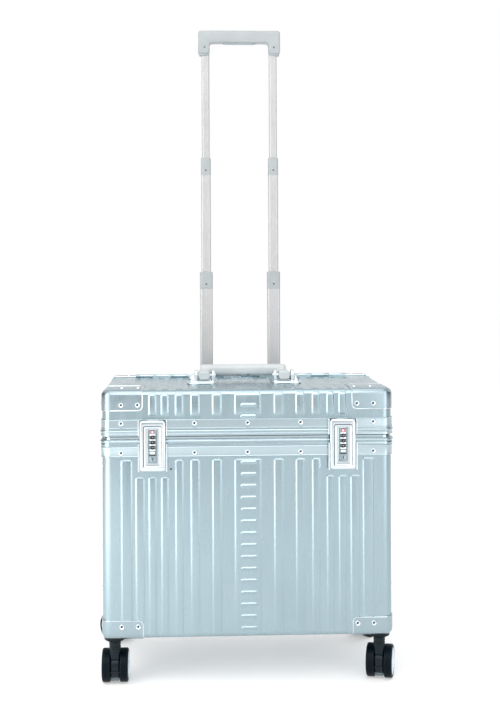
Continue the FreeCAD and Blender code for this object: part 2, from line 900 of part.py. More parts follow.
def hinge_half(name, parity, leaf_y, root_y):
    """A leaf on the top panel with every other knuckle of the hinge."""
    y, z = HINGE_AXIS
    leaf = box(
        name + "_leaf",
        ("-hinge_half_length", "hinge_half_length"),
        leaf_y,
        ("case_top", "case_top + leaf_thick"),
    )
    pieces = [leaf]
    for number in range(parity, KNUCKLES, 2):
        start = f"-hinge_half_length + {number} * knuckle_length + knuckle_gap / 2"
        length = "knuckle_length - knuckle_gap"
        pieces.append(rod(f"{name}_knuckle{number}", "hinge_radius", length, (start, y, z), "x"))
        pieces.append(
            box(
                f"{name}_root{number}",
                (start, f"{start} + {length}"),
                root_y,
                ("case_top", "case_top + hinge_root_height"),
            )
        )
    bore = rod(
        name + "_bore",
        "hinge_pin_radius + running_gap",
        "2 * hinge_half_length + 4",
        ("-hinge_half_length - 2", y, z),
        "x",
    )
    return cut(name + "_solid", fuse(name + "_whole", *pieces), bore)


sub_part(
    hinge_half(
        "hinge_leaf_body",
        0,
        (f"{HINGE_Y} + leaf_from_axis", "lid_rear_y + leaf_reach"),
        (f"{HINGE_Y} + hinge_root_gap", f"{HINGE_Y} + leaf_from_axis"),
    ),
    "hinge_leaf_body",
)
sub_part(
    hinge_half(
        "hinge_leaf_lid",
        1,
        ("lid_rear_y - leaf_reach", f"{HINGE_Y} - leaf_from_axis"),
        (f"{HINGE_Y} - leaf_from_axis", f"{HINGE_Y} - hinge_root_gap"),
    ),
    "hinge_leaf_lid",
)
PIN_START = ("-hinge_half_length", *HINGE_AXIS)
sub_part(rod("hinge_pin_rod", "hinge_pin_radius", "2 * hinge_half_length", PIN_START, "x"), "hinge_pin")

# ---------------------------------------------------------------- carry handle

CARRY_AXIS = ("carry_y", "case_top + carry_rise")


def carry_mount(side, sign):
    """A bracket with two ears round the grip's arm and a rounded outer end."""
    name = f"carry_mount_{side}"
    y, z = CARRY_AXIS

    def x(low, high):
        return (low, high) if sign > 0 else (f"-({high})", f"-({low})")

    base = slab(
        name + "_base",
        x("carry_base_inner", "carry_base_outer"),
        ("carry_y - carry_base_half_depth", "carry_y + carry_base_half_depth"),
        ("case_top", "case_top + carry_base_thick"),
        corner="6",
    )
    parts = [base]
    inner_ear = ("carry_inner_ear_near", "carry_inner_ear_far")
    outer_ear = ("carry_outer_ear_near", "carry_outer_ear_far")
    for number, (low, high) in enumerate((inner_ear, outer_ear)):
        ear_x = x(low, high)
        ear = f"{name}_ear{number}"
        parts.append(rod(ear, "carry_ear_radius", f"{high} - {low}", (ear_x[0], y, z), "x"))
        parts.append(
            box(
                ear + "_root",
                ear_x,
                ("carry_y - carry_ear_radius", "carry_y + carry_ear_radius"),
                ("case_top + 1", z),
            )
        )
    dome_base = (f"{sign} * carry_outer_ear_far", y, "case_top + carry_dome_rise")
    parts.append(
        cone(
            name + "_dome",
            "carry_ear_radius",
            "carry_dome_tip_radius",
            "carry_dome_length",
            dome_base,
            Vector(sign, 0, 0),
        )
    )
    bore = rod(name + "_bore", "carry_pin_radius", "60", (x("40", "100")[0], y, z), "x")
    sub_part(cut(name + "_solid", fuse(name + "_whole", *parts), bore), name)


for side, sign in SIDES:
    carry_mount(side, sign)
carry_pins = [
    rod(f"carry_pin_{side}", "carry_pin_radius", "carry_pin_length", (start, *CARRY_AXIS), "x")
    for side, start in (("left", "-carry_pin_far"), ("right", "carry_pin_far - carry_pin_length"))
]
sub_part(group("carry_pins_solid", carry_pins), "carry_pins")


def carry_grip():
    y, z = CARRY_AXIS
    bar = slab(
        "carry_bar",
        ("-carry_arm_x - carry_arm_width / 2", "carry_arm_x + carry_arm_width / 2"),
        ("carry_y + carry_bar_near", "carry_y + carry_bar_far"),
        ("case_top + carry_bar_low", "case_top + carry_bar_high"),
        along="x",
        corner="6",
    )
    parts = [bar]
    for side, sign in SIDES:
        low = f"{sign} * carry_arm_x - carry_arm_width / 2"
        high = f"{sign} * carry_arm_x + carry_arm_width / 2"
        parts.append(rod(f"carry_arm_end_{side}", "carry_arm_radius", "carry_arm_width", (low, y, z), "x"))
        parts.append(
            box(
                f"carry_arm_{side}",
                (low, high),
                (y, "(carry_y + carry_bar_near + carry_y + carry_bar_far) / 2"),
                ("case_top + carry_rise - carry_arm_radius", "case_top + carry_rise + carry_arm_radius"),
            )
        )
    bore = rod("carry_grip_bore", "carry_pin_radius + running_gap", "180", ("-90", y, z), "x")
    return cut("carry_grip_solid", fuse("carry_grip_whole", *parts), bore)


sub_part(carry_grip(), "carry_grip")

# ---------------------------------------------------------------- trolley


def tube(label, side, sign, width, depth, z, inner_width, inner_depth):
    """A rounded rectangular tube, with its bore given as a second width and depth."""
    def shaped(name, across_x, across_y, limits, radius):
        return slab(
            f"{label}_{side}_{name}",
            (f"{sign} * trolley_x - ({across_x}) / 2", f"{sign} * trolley_x + ({across_x}) / 2"),
            (f"trolley_y - ({across_y}) / 2", f"trolley_y + ({across_y}) / 2"),
            limits,
            corner=radius,
        )

    low, high = z
    outside = shaped("outside", width, depth, z, "3")
    bore = shaped("bore", inner_width, inner_depth, (f"{low} - 1", f"{high} + 1"), "2")
    return cut(f"{label}_{side}_tube", outside, bore)


STAGES = (
    (
        "trolley_outer_tubes",
        "lower_width + 2 * (tube_gap + sleeve_wall)",
        "lower_depth + 2 * (tube_gap + sleeve_wall)",
        ("case_bottom + wall + outer_tube_foot", "case_top - wall - tube_gap"),
        "lower_width + 2 * tube_gap",
        "lower_depth + 2 * tube_gap",
    ),
    (
        "trolley_stage_lower",
        "lower_width",
        "lower_depth",
        ("case_top - tube_overlap", "lower_top"),
        "middle_width + 2 * tube_gap",
        "middle_depth + 2 * tube_gap",
    ),
    (
        "trolley_stage_middle",
        "middle_width",
        "middle_depth",
        ("lower_top - tube_overlap", "middle_top"),
        "upper_width + 2 * tube_gap",
        "upper_depth + 2 * tube_gap",
    ),
    (
        "trolley_stage_upper",
        "upper_width",
        "upper_depth",
        ("middle_top - tube_overlap", "upper_top"),
        "upper_width - 2 * upper_wall",
        "upper_depth - 2 * upper_wall",
    ),
)
for label, *sizes in STAGES:
    tubes = [tube(label, side, sign, *sizes) for side, sign in SIDES]
    sub_part(group(label + "_solid", tubes), label)

bezel_plate = slab(
    "bezel_plate",
    ("-trolley_x - bezel_beyond_tube", "trolley_x + bezel_beyond_tube"),
    ("trolley_y - bezel_front", "trolley_y + bezel_rear"),
    ("case_top", "case_top + bezel_thick"),
    corner="6",
    high_rim="1.5",
)
bezel_holes = [
    slab(
        f"bezel_hole_{side}",
        tube_hole_x(sign),
        TUBE_HOLE_Y,
        ("case_top - cut_past", "case_top + 2 * cut_past"),
        corner="3",
    )
    for side, sign in SIDES
]
sub_part(cut("trolley_bezel_solid", bezel_plate, *bezel_holes), "trolley_bezel")

GRIP_Y = ("trolley_y - grip_depth / 2", "trolley_y + grip_depth / 2")
grip_block = slab(
    "grip_block",
    ("-grip_half_width", "grip_half_width"),
    GRIP_Y,
    ("upper_top", "trolley_top"),
    along="y",
    corner="4",
    low_rim="2",
    high_rim="2",
)
grip_window = slab(
    "grip_window",
    ("-grip_leg_inner", "grip_leg_inner"),
    ("trolley_y - grip_depth", "trolley_y + grip_depth"),
    ("upper_top - grip_depth", "trolley_top - grip_bar"),
    along="y",
    corner="5",
)
button_slot = box(
    "grip_button_slot",
    ("-grip_button_half - hole_gap", "grip_button_half + hole_gap"),
    ("trolley_y - grip_button_width / 2 - moving_gap", "trolley_y + grip_button_width / 2 + moving_gap"),
    ("trolley_top - grip_bar - cut_past", "trolley_top - grip_bar + grip_slot_depth"),
)
sub_part(cut("trolley_grip_solid", grip_block, grip_window, button_slot), "trolley_grip")
sub_part(
    slab(
        "trolley_button_bar",
        ("-grip_button_half", "grip_button_half"),
        ("trolley_y - grip_button_width / 2", "trolley_y + grip_button_width / 2"),
        ("trolley_top - grip_bar - grip_button_proud", "trolley_top - grip_bar + grip_button_deep"),
        corner="5",
    ),
    "trolley_button",
)

# ---------------------------------------------------------------- casters

CASTERS = [
    (end, side, f"caster_{end}_y", f"{sign} * caster_x")
    for end in ("front", "rear")
    for side, sign in SIDES
]


def stand(item, x, y, turn):
    """Moves a caster piece from the origin to its swivel axis, turned about it."""
    item.Placement = Placement(Vector(), Rotation(Vector(0, 0, 1), 0))
    item.setExpression("Placement.Base.x", cells(x))
    item.setExpression("Placement.Base.y", cells(y))
    item.setExpression("Placement.Rotation.Angle", cells(turn))
    return item


def caster_plate(name):
    """The fixed housing under a corner guard, coned at its lower rim, with the swivel's bore."""
    rim_base = ("0", "0", "housing_low")
    rim = cone(name + "_rim", "housing_radius - 6", "housing_radius", "housing_cone", rim_base, UP)
    drum = rod(
        name + "_drum",
        "housing_radius",
        "case_bottom - guard_thick - housing_low - housing_cone",
        ("0", "0", "housing_low + housing_cone"),
        "z",
    )
    bore_base = ("0", "0", "housing_low - 1")
    bore_top = "neck_top - 1 + spindle_length + spindle_head_room"
    bore_length = f"{bore_top} - (housing_low - 1)"
    bore = rod(name + "_bore", "spindle_radius + running_gap", bore_length, bore_base, "z")
    return cut(name, fuse(name + "_whole", rim, drum), bore)


def caster_fork(name):
    """The swivelling piece between the two wheels: cheek, crown, neck and spindle."""
    cheek = rod(
        name + "_cheek",
        "wheel_radius - 4",
        "2 * fork_half_width",
        ("-fork_half_width", "wheel_trail", "wheel_radius"),
        "x",
    )
    crown = box(
        name + "_crown",
        ("-fork_half_width", "fork_half_width"),
        ("1 - neck_radius", "wheel_trail + 4"),
        ("wheel_radius + 8", "2 * wheel_radius + 1.5"),
    )
    neck_low = "2 * wheel_radius + 1"
    neck = rod(name + "_neck", "neck_radius", f"neck_top - ({neck_low})", ("0", "0", neck_low), "z")
    spindle = rod(name + "_spindle", "spindle_radius", "spindle_length", ("0", "0", "neck_top - 1"), "z")
    bore = rod(
        name + "_bore",
        "axle_radius + running_gap",
        "40",
        ("-20", "wheel_trail", "wheel_radius"),
        "x",
    )
    return cut(name, fuse(name + "_whole", cheek, crown, neck, spindle), bore)


def caster_wheels(name):
    discs = [
        rod(
            f"{name}_disc{number}",
            "wheel_radius",
            "wheel_outer - wheel_inner",
            (start, "wheel_trail", "wheel_radius"),
            "x",
        )
        for number, start in enumerate(("-wheel_outer", "wheel_inner"))
    ]
    axle = rod(
        name + "_axle",
        "axle_radius",
        "2 * wheel_inner + 2",
        ("-wheel_inner - 1", "wheel_trail", "wheel_radius"),
        "x",
    )
    pair = fuse(name + "_pair", axle, *discs)
    doc.recompute()
    rounded = doc.addObject("Part::Fillet", name)
    rounded.Base = pair
    tread_round = 3
    rounded.Edges = [
        (number, tread_round, tread_round)
        for number, edge in enumerate(pair.Shape.Edges, 1)
        if hasattr(edge.Curve, "Radius") and abs(edge.Curve.Radius - SIZES["wheel_radius"]) < 0.01
        and len(edge.Vertexes) == 1
    ]
    return rounded


plates = []
for end, side, y, x in CASTERS:
    turn = f"angle_{end}_{side}"
    plates.append(stand(caster_plate(f"caster_plate_{end}_{side}"), x, y, "0"))
    fork = stand(caster_fork(f"caster_fork_{end}_{side}_solid"), x, y, turn)
    sub_part(fork, f"caster_fork_{end}_{side}")
    wheels = stand(caster_wheels(f"caster_wheels_{end}_{side}_solid"), x, y, turn)
    sub_part(wheels, f"caster_wheels_{end}_{side}")
sub_part(group("caster_plates_solid", plates), "caster_plates")

# ---------------------------------------------------------------- checks and files

doc.recompute()
for item in doc.Objects:
    if {"Invalid", "Error"} & set(item.State):
        raise RuntimeError(f"{item.Label} failed: {item.State}")
os.makedirs("parts", exist_ok=True)
for item in sub_parts:
    if item.Shape.isNull() or not item.Shape.isValid():
        raise RuntimeError(f"{item.Label} has no valid shape")
for item in sub_parts:
    item.Shape.exportStep(f"parts/{item.Label}.step")
    print(f"{item.Label}: {len(item.Shape.Solids)} solids, {item.Shape.Volume / 1000:.2f} cm3")
print(len(sub_parts), "sub-parts")
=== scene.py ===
import json
import math

import bmesh
import bpy
from mathutils import Matrix, Vector


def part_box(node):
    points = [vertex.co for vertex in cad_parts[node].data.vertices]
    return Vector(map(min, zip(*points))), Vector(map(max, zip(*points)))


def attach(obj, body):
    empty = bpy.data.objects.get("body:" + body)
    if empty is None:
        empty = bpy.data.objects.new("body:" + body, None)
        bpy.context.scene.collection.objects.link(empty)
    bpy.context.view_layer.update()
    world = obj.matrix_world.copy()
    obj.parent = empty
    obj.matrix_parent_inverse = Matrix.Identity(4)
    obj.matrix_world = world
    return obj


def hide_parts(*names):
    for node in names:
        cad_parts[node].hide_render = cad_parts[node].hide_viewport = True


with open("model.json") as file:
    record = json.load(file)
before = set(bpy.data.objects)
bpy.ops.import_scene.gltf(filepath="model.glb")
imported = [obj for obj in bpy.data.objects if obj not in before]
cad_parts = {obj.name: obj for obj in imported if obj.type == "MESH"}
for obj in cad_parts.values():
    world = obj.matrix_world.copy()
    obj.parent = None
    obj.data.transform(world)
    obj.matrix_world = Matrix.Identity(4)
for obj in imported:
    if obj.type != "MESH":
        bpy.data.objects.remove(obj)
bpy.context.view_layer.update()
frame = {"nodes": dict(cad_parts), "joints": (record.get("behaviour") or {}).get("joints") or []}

# Ribbed aluminium case on casters. Lengths are millimetres until a mesh is made, and then metres.
# Every place comes from a box of the CAD frame; the numbers here are the sizes of surface detail.

MM = 0.001
SIDES = (("left", -1), ("right", 1))
AHEAD, BEHIND = Vector((0, -1, 0)), Vector((0, 1, 0))
UP, DOWN = Vector((0, 0, 1)), Vector((0, 0, -1))


def span(node):
    """A CAD node's lowest and highest corners, in millimetres."""
    low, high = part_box(node)
    return low / MM, high / MM


def middle(node):
    low, high = span(node)
    return (low + high) / 2


# ---------------------------------------------------------------- the case's own sizes

SHELL_LOW, SHELL_HIGH = span("body_shell")
HALF_WIDTH = SHELL_HIGH.x
FRONT, REAR = SHELL_LOW.y, SHELL_HIGH.y
BOTTOM, TOP = SHELL_LOW.z, SHELL_HIGH.z
LID_REAR = span("lid_shell")[1].y
DECK_FRONT = span("deck_frame")[0].y
PARTING = (span("body_frame")[1].z + span("lid_frame")[0].z) / 2
CORNER = 14
EDGE = 8

# ---------------------------------------------------------------- mesh helpers


def quarter(steps):
    """Angles from 0 to 90 degrees, in radians."""
    return [math.radians(90 * k / steps) for k in range(steps + 1)]


def circle(steps):
    return [2 * math.pi * k / steps for k in range(steps)]


def rounding(edge, steps):
    """(inset, depth) of a rounded edge, from its level face to its upright one reversed."""
    return [(edge * (1 - math.sin(t)), edge * (1 - math.cos(t))) for t in quarter(steps)]


class Shape:
    """Points and faces gathered before they become one mesh."""

    def __init__(self):
        self.points, self.faces = [], []

    def add(self, points, faces):
        first = len(self.points)
        self.points += [Vector(p) for p in points]
        self.faces += [tuple(first + index for index in face) for face in faces]
        return self

    def skin(self, rings, around=True, ends="cap"):
        """Quads between rings of equal length; ends are capped, left open or joined to each other."""
        size, count = len(rings[0]), len(rings)
        faces = []
        for ring in range(count if ends == "join" else count - 1):
            here, there = ring * size, (ring + 1) % count * size
            for k in range(size if around else size - 1):
                after = (k + 1) % size
                faces.append((here + k, here + after, there + after, there + k))
        if ends == "cap":
            faces.append(tuple(reversed(range(size))))
            faces.append(tuple((count - 1) * size + k for k in range(size)))
        return self.add([p for ring in rings for p in ring], faces)

    def lathe(self, profile, matrix=None, steps=32):
        """Turns (radius, height) points about the matrix's Z axis."""
        matrix = matrix or Matrix()
        rings = []
        for turn in circle(steps):
            rings.append([matrix @ Vector((r * math.cos(turn), r * math.sin(turn), z)) for r, z in profile])
        return self.skin(rings, around=False, ends="join")

    def join(self, *others):
        for other in others:
            self.add(other.points, other.faces)
        return self

    def placed(self, other, matrix):
        return self.add([matrix @ p for p in other.points], other.faces)


def mesh_object(name, shape):
    mesh = bpy.data.meshes.new(name)
    mesh.from_pydata([p * MM for p in shape.points], [], shape.faces)
    clean = bmesh.new()
    clean.from_mesh(mesh)
    bmesh.ops.remove_doubles(clean, verts=clean.verts, dist=2e-6)
    bmesh.ops.recalc_face_normals(clean, faces=clean.faces)
    clean.to_mesh(mesh)
    clean.free()
    item = bpy.data.objects.new(name, mesh)
    bpy.context.scene.collection.objects.link(item)
    return item


def with_modifiers(item, *recipes):
    """Adds modifiers, given as (type, settings), and applies them."""
    for kind, settings in recipes:
        modifier = item.modifiers.new(kind.title(), kind)
        for key, value in settings.items():
            setattr(modifier, key, value)
    bpy.context.view_layer.update()
    graph = bpy.context.evaluated_depsgraph_get()
    applied = bpy.data.meshes.new_from_object(item.evaluated_get(graph))
    item.modifiers.clear()
    item.data = applied
    return item


def finished(item, body, material, replaces=(), sharp=32):
    """Shades a piece, gives it a material and fastens it to its body."""
    item.data.materials.clear()
    item.data.materials.append(material)
    item.data.shade_smooth()
    item.data.set_sharp_from_angle(angle=math.radians(sharp))
    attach(item, body)
    if replaces:
        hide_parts(*replaces)
    return item


def piece(name, shape, body, material, slot, replaces=(), sharp=32):
    return finished(mesh_object(name, shape), body, material, replaces, sharp)


def arc(centre, radius, start, end, steps):
    """Points of an arc, with its angles in degrees."""
    turns = [math.radians(start + (end - start) * k / steps) for k in range(steps + 1)]
    return [(centre[0] + radius * math.cos(t), centre[1] + radius * math.sin(t)) for t in turns]


def rounded_rectangle(low, high, radius, steps=5):
    """An anticlockwise loop of points between two corners."""
    (x0, y0), (x1, y1) = low, high
    r = max(min(radius, (x1 - x0) / 2 - 0.01, (y1 - y0) / 2 - 0.01), 0.01)
    loop = arc((x1 - r, y0 + r), r, -90, 0, steps)
    loop += arc((x1 - r, y1 - r), r, 0, 90, steps)
    loop += arc((x0 + r, y1 - r), r, 90, 180, steps)
    loop += arc((x0 + r, y0 + r), r, 180, 270, steps)
    return loop


def soft_block(low, high, radius, edge, along=2, steps=4):
    """A block with rounded corners along one axis and rounded rims at both ends."""
    others = [axis for axis in range(3) if axis != along]
    rings = []
    levels = [(low[along] + rise, inset) for rise, inset in reversed(rounding(edge, steps))]
    levels += [(high[along] - drop, inset) for drop, inset in rounding(edge, steps)]
    for level, inset in levels:
        loop = rounded_rectangle(
            (low[others[0]] + inset, low[others[1]] + inset),
            (high[others[0]] - inset, high[others[1]] - inset),
            max(radius - inset, 0.05),
            steps,
        )
        ring = []
        for u, v in loop:
            point = [0, 0, 0]
            point[others[0]], point[others[1]], point[along] = u, v, level
            ring.append(point)
        rings.append(ring)
    return Shape().skin(rings)


def bar(x, half, depths, heights, radius=0.4, edge=0.1, along=1):
    """A soft block centred across, between two depths and two heights."""
    low, high = (x - half, depths[0], heights[0]), (x + half, depths[1], heights[1])
    return soft_block(low, high, radius, edge, along)


def cylinder(radius, length, matrix, edge=0.4, steps=32):
    """A turned rod from the matrix's origin along its Z, with rounded rims."""
    core = radius - edge
    profile = [(0, 0), (core, 0)]
    profile += [(core + edge * math.sin(t), edge - edge * math.cos(t)) for t in (0.52, 1.05, 1.57)]
    profile += [(core + edge * math.cos(t), length - edge + edge * math.sin(t)) for t in (0, 0.52, 1.05)]
    profile += [(core, length), (0, length)]
    return Shape().lathe(profile, matrix, steps)


def looking(origin, direction):
    """A matrix at a point whose Z axis lies along a direction."""
    return Matrix.Translation(Vector(origin)) @ Vector(direction).to_track_quat("Z", "Y").to_matrix().to_4x4()


def solids_of(node):
    """The boxes of a node's separate solids, in millimetres."""
    work = bmesh.new()
    work.from_mesh(frame["nodes"][node].data)
    bmesh.ops.remove_doubles(work, verts=work.verts, dist=1e-6)
    left = set(work.verts)
    boxes = []
    while left:
        stack = [left.pop()]
        island = []
        while stack:
            vertex = stack.pop()
            island.append(vertex.co / MM)
            for edge in vertex.link_edges:
                other = edge.other_vert(vertex)
                if other in left:
                    left.remove(other)
                    stack.append(other)
        low = Vector([min(p[axis] for p in island) for axis in range(3)])
        high = Vector([max(p[axis] for p in island) for axis in range(3)])
        boxes.append((low, high))
    work.free()
    return sorted(boxes, key=lambda box: tuple(box[0]))


def subtract(item, *cutters):
    """Cuts shapes out of an object."""
    recipes = []
    tools = []
    for number, cutter in enumerate(cutters):
        tool = mesh_object(f"{item.name}_tool{number}", cutter)
        tools.append(tool)
        recipes.append(("BOOLEAN", {"operation": "DIFFERENCE", "object": tool, "solver": "EXACT"}))
    with_modifiers(item, *recipes)
    for tool in tools:
        bpy.data.objects.remove(tool)
    return item


def fused(name, shapes, voxel=0.7, smooth=4):
    """Shapes melted into one casting with soft inner corners."""
    whole = Shape()
    for shape in shapes:
        whole.join(shape)
    item = mesh_object(name, whole)
    return with_modifiers(
        item,
        ("REMESH", {"mode": "VOXEL", "voxel_size": voxel * MM}),
        ("SMOOTH", {"factor": 0.5, "iterations": smooth}),
    )


# ---------------------------------------------------------------- materials


class Graph:
    """A node tree with short ways to fill it. Every wire and constant is set where its node is made."""

    def __init__(self, owner):
        owner.use_nodes = True
        self.nodes, self.links = owner.node_tree.nodes, owner.node_tree.links

    def node(self, kind, wires, settings=(), **constants):
        made = self.nodes.new("ShaderNode" + kind)
        for key, value in dict(settings).items():
            setattr(made, key, value)
        for socket, value in constants.items():
            made.inputs[socket.replace("_", " ")].default_value = value
        for socket, source in wires.items():
            self.links.new(source, made.inputs[socket])
        return made

    def coordinates(self, kind):
        return self.node("TexCoord", {}).outputs[kind]

    def maths(self, operation, first, second):
        return self.node("Math", {0: first, 1: second}, {"operation": operation}).outputs[0]


class Look(Graph):
    """A Principled material with procedural colour, roughness and bump."""

    def __init__(self, name, colour, roughness, metallic=0.0, **sockets):
        self.material = bpy.data.materials.new(name)
        super().__init__(self.material)
        self.shader = self.nodes["Principled BSDF"]
        self.colour = colour
        sockets.update(Base_Color=(*colour, 1), Roughness=roughness, Metallic=metallic)
        for socket, value in sockets.items():
            self.shader.inputs[socket.replace("_", " ")].default_value = value
        self.place = self.coordinates("Object")
        self.bumps = None

    def noise(self, scale, detail=3, stretch=(1, 1, 1)):
        mapping = self.node("Mapping", {"Vector": self.place}, Scale=stretch)
        texture = self.node("TexNoise", {"Vector": mapping.outputs["Vector"]}, Scale=scale, Detail=detail)
        return texture.outputs["Fac"]

    def wave(self, scale, direction="X"):
        bands = {"wave_type": "BANDS", "bands_direction": direction}
        return self.node("TexWave", {"Vector": self.place}, bands, Scale=scale).outputs["Fac"]

    def vary_colour(self, source, low, high, middle=0.5, reach=0.3):
        """The colour runs between two shades of itself."""
        ramp = self.node("ValToRGB", {"Fac": source})
        ramp.color_ramp.elements[0].position = middle - reach
        ramp.color_ramp.elements[1].position = middle + reach
        for element, shade in zip(ramp.color_ramp.elements, (low, high)):
            element.color = (*[min(channel * shade, 1) for channel in self.colour], 1)
        self.links.new(ramp.outputs["Color"], self.shader.inputs["Base Color"])

    def vary_roughness(self, source, low, high):
        ranged = self.node("MapRange", {"Value": source}, From_Min=0.3, From_Max=0.7, To_Min=low, To_Max=high)
        self.links.new(ranged.outputs["Result"], self.shader.inputs["Roughness"])

    def bump(self, source, height, strength=1.0):
        """Adds relief of a height in millimetres."""
        wires = {"Height": source}
        if self.bumps:
            wires["Normal"] = self.bumps
        self.bumps = self.node("Bump", wires, Distance=height * MM, Strength=strength).outputs["Normal"]
        self.links.new(self.bumps, self.shader.inputs["Normal"])


def metal(name, colour, roughness, spread=0.06, grain=(1, 1, 1), relief=0.02, metallic=1.0):
    """Metal with cloudy tarnish, a fine grain and roughness that changes along it."""
    look = Look(name, colour, roughness, metallic)
    look.vary_colour(look.noise(14, 4), 0.95, 1.04)
    look.vary_roughness(look.noise(60, 4, grain), roughness - spread, roughness + spread)
    look.bump(look.noise(1400, 3, grain), relief, 0.5)
    return look.material


def plastic(name, colour, roughness, grain_scale=900, relief=0.03, coat=0.0, gloss=0.5):
    look = Look(name, colour, roughness, Specular_IOR_Level=gloss, Coat_Weight=coat)
    look.vary_colour(look.noise(35, 3), 0.94, 1.06)
    look.vary_roughness(look.noise(90, 3), roughness - 0.05, roughness + 0.07)
    look.bump(look.noise(grain_scale, 2), relief, 0.6)
    return look.material


def woven(name, colour):
    """Plain weave cloth over board."""
    look = Look(name, colour, 0.85, Sheen_Weight=0.3)
    look.vary_colour(look.noise(250, 3), 0.8, 1.25)
    threads = look.maths("MULTIPLY", look.wave(700, "DIAGONAL"), look.wave(700, "Z"))
    look.bump(threads, 0.12, 0.8)
    look.bump(look.noise(90, 3), 0.3, 0.35)
    return look.material


BRUSHED = (1, 1, 0.05)
SHEET_METAL = metal("ribbed_sheet", (0.335, 0.43, 0.47), 0.28, grain=BRUSHED)
FRAME_METAL = metal("frame_extrusion", (0.42, 0.51, 0.55), 0.2, grain=(0.05, 0.05, 1))
GUARD_METAL = metal("guard_pressing", (0.33, 0.415, 0.455), 0.3, relief=0.02)
RIVET_METAL = metal("rivet_polished", (0.66, 0.73, 0.77), 0.1, spread=0.03, relief=0.005)
# the rivet pin's near-black colour is a painted dark reflection in the middle of each head
PIN_PAINTED_REFLECTION = metal("rivet_pin_painted_reflection", (0.03, 0.04, 0.05), 0.22, spread=0.04, relief=0.005)
BRIGHT_METAL = metal("bright_castings", (0.70, 0.76, 0.79), 0.14, spread=0.04, relief=0.015)
LEVER_METAL = metal("latch_casting", (0.60, 0.665, 0.70), 0.15, spread=0.04, relief=0.01)
BRACKET_METAL = metal("bracket_satin", (0.70, 0.765, 0.79), 0.36, relief=0.01)
LOCK_METAL = metal("lock_plate", (0.33, 0.40, 0.43), 0.22, relief=0.01)
# near-black: the own colour of the dark pins and screws, and painted shade where it fills the grip seams, the
# keyway, the recess edge and the bar under the lock button
DARK_METAL_AND_GAP_SHADE = metal("dark_metal_and_painted_gap_shade", (0.055, 0.065, 0.075), 0.5)
TUBE_METAL = metal("trolley_tube", (0.455, 0.455, 0.46), 0.4, grain=BRUSHED, metallic=0.35)
GRIP_PLASTIC = plastic("grip_moulded", (0.31, 0.335, 0.345), 0.4, coat=0.1)
CARRY_PLASTIC = plastic("carry_moulded", (0.47, 0.50, 0.51), 0.38, coat=0.15)
BUTTON_PLASTIC = plastic("button_moulded", (0.30, 0.34, 0.37), 0.42)
DIAL_PLASTIC = plastic("dial_black", (0.004, 0.005, 0.006), 0.35, gloss=0.12)
FORK_PLASTIC = plastic("caster_moulded", (0.002, 0.008, 0.012), 0.28, gloss=0.22)
TAB_PLASTIC = plastic("caster_tab", (0.085, 0.115, 0.13), 0.4)
TYRE_RUBBER = plastic("tyre", (0.0015, 0.006, 0.010), 0.4, grain_scale=1600, relief=0.04, gloss=0.1)
HUB_PLASTIC = metal("hub_cap", (0.62, 0.75, 0.86), 0.3, metallic=0.6)
RING_RED = plastic("ring_red", (0.62, 0.05, 0.07), 0.35)
INK_WHITE = plastic("ink_white", (0.86, 0.87, 0.87), 0.5)
LINING_CLOTH = woven("lining_weave", (0.075, 0.085, 0.105))

# ---------------------------------------------------------------- pressed ribs of the shells

RIB_HEIGHT = 1.3
RIB_SLOPE = 2.8
RIB_ROOT = -0.4
RIB_SIDE = ((0, 0.0), (0.08, 0.03), (0.17, 0.12), (0.83, 0.88), (0.93, 0.975), (1.1, 1))
CENTRE_BAND = (-20.8, 20.8)
INNER_BANDS = ((39.5, 55), (73, 88), (98, 111.5))
LATCH_BANDS = ((120.5, 133), (139, 152))
OUTER_BANDS = ((157, 172), (176, 194))
FRAME_GAP = 5
RIB_GAP = 3
BODY_RIB_TOP = span("body_frame")[0].z - RIB_GAP
LATCH_RIB_TOP = span("latch_lever_left")[0].z - 2 * FRAME_GAP
LID_RIB_LOW = span("lid_frame")[1].z + FRAME_GAP
GUARD_TOP = span("bottom_guard_front_left")[1].z
GUARD_REACH = HALF_WIDTH - abs(span("lid_guard_left")[1].x)
BEHIND_LID_GUARD = span("lid_guard_left")[1].y + RIB_GAP


def rib_profile(width, height):
    """Half of the soft trapezoid across a rib: distance in from its side, and height."""
    slope = min(RIB_SLOPE, width / 3)
    left = [(0, RIB_ROOT)]
    left += [(inset * slope, rise * height) for inset, rise in RIB_SIDE]
    return left + [(width - inset, rise) for inset, rise in reversed(left)]


def rib(shape, low, high, track, across=Vector((1, 0, 0)), height=RIB_HEIGHT):
    """A raised band along a track of (point, normal, rise), spread from low to high across it."""
    profile = rib_profile(high - low, height)
    centre = (high - low) / 2
    rings = []
    for point, normal, rise in track:
        pinch = 1 - 0.25 * (1 - rise) * min(1, 6 / (high - low))
        ring = []
        for inset, out in profile:
            side = low + centre + (inset - centre) * pinch
            lift = out if out < 0 else out * rise
            ring.append(Vector(point) + across * side + Vector(normal) * lift)
        rings.append(ring)
    return shape.skin(rings)


def ramped(track, ends=(True, True), length=5):
    """Adds the soft rise at the ends of a track of (point, normal)."""
    steps = ((0, 0.0), (0.12, 0.12), (0.35, 0.5), (0.62, 0.85), (1, 1.0))
    result = []
    first, second = Vector(track[0][0]), Vector(track[1][0])
    if ends[0]:
        along = (second - first).normalized()
        result += [(first + along * length * part, track[0][1], rise) for part, rise in steps]
    else:
        result.append((first, track[0][1], 1))
    result += [(point, normal, 1) for point, normal in track[1:-1]]
    last, before = Vector(track[-1][0]), Vector(track[-2][0])
    if ends[1]:
        along = (before - last).normalized()
        result += [(last + along * length * part, track[-1][1], rise) for part, rise in reversed(steps)]
    else:
        result.append((last, track[-1][1], 1))
    return result


def turned_edge(centre, first, second, radius, steps):
    """A quarter turn from one direction to another, as (point, normal)."""
    normals = [first * math.cos(turn) + second * math.sin(turn) for turn in quarter(steps)]
    return [(centre + normal * radius, normal) for normal in normals]


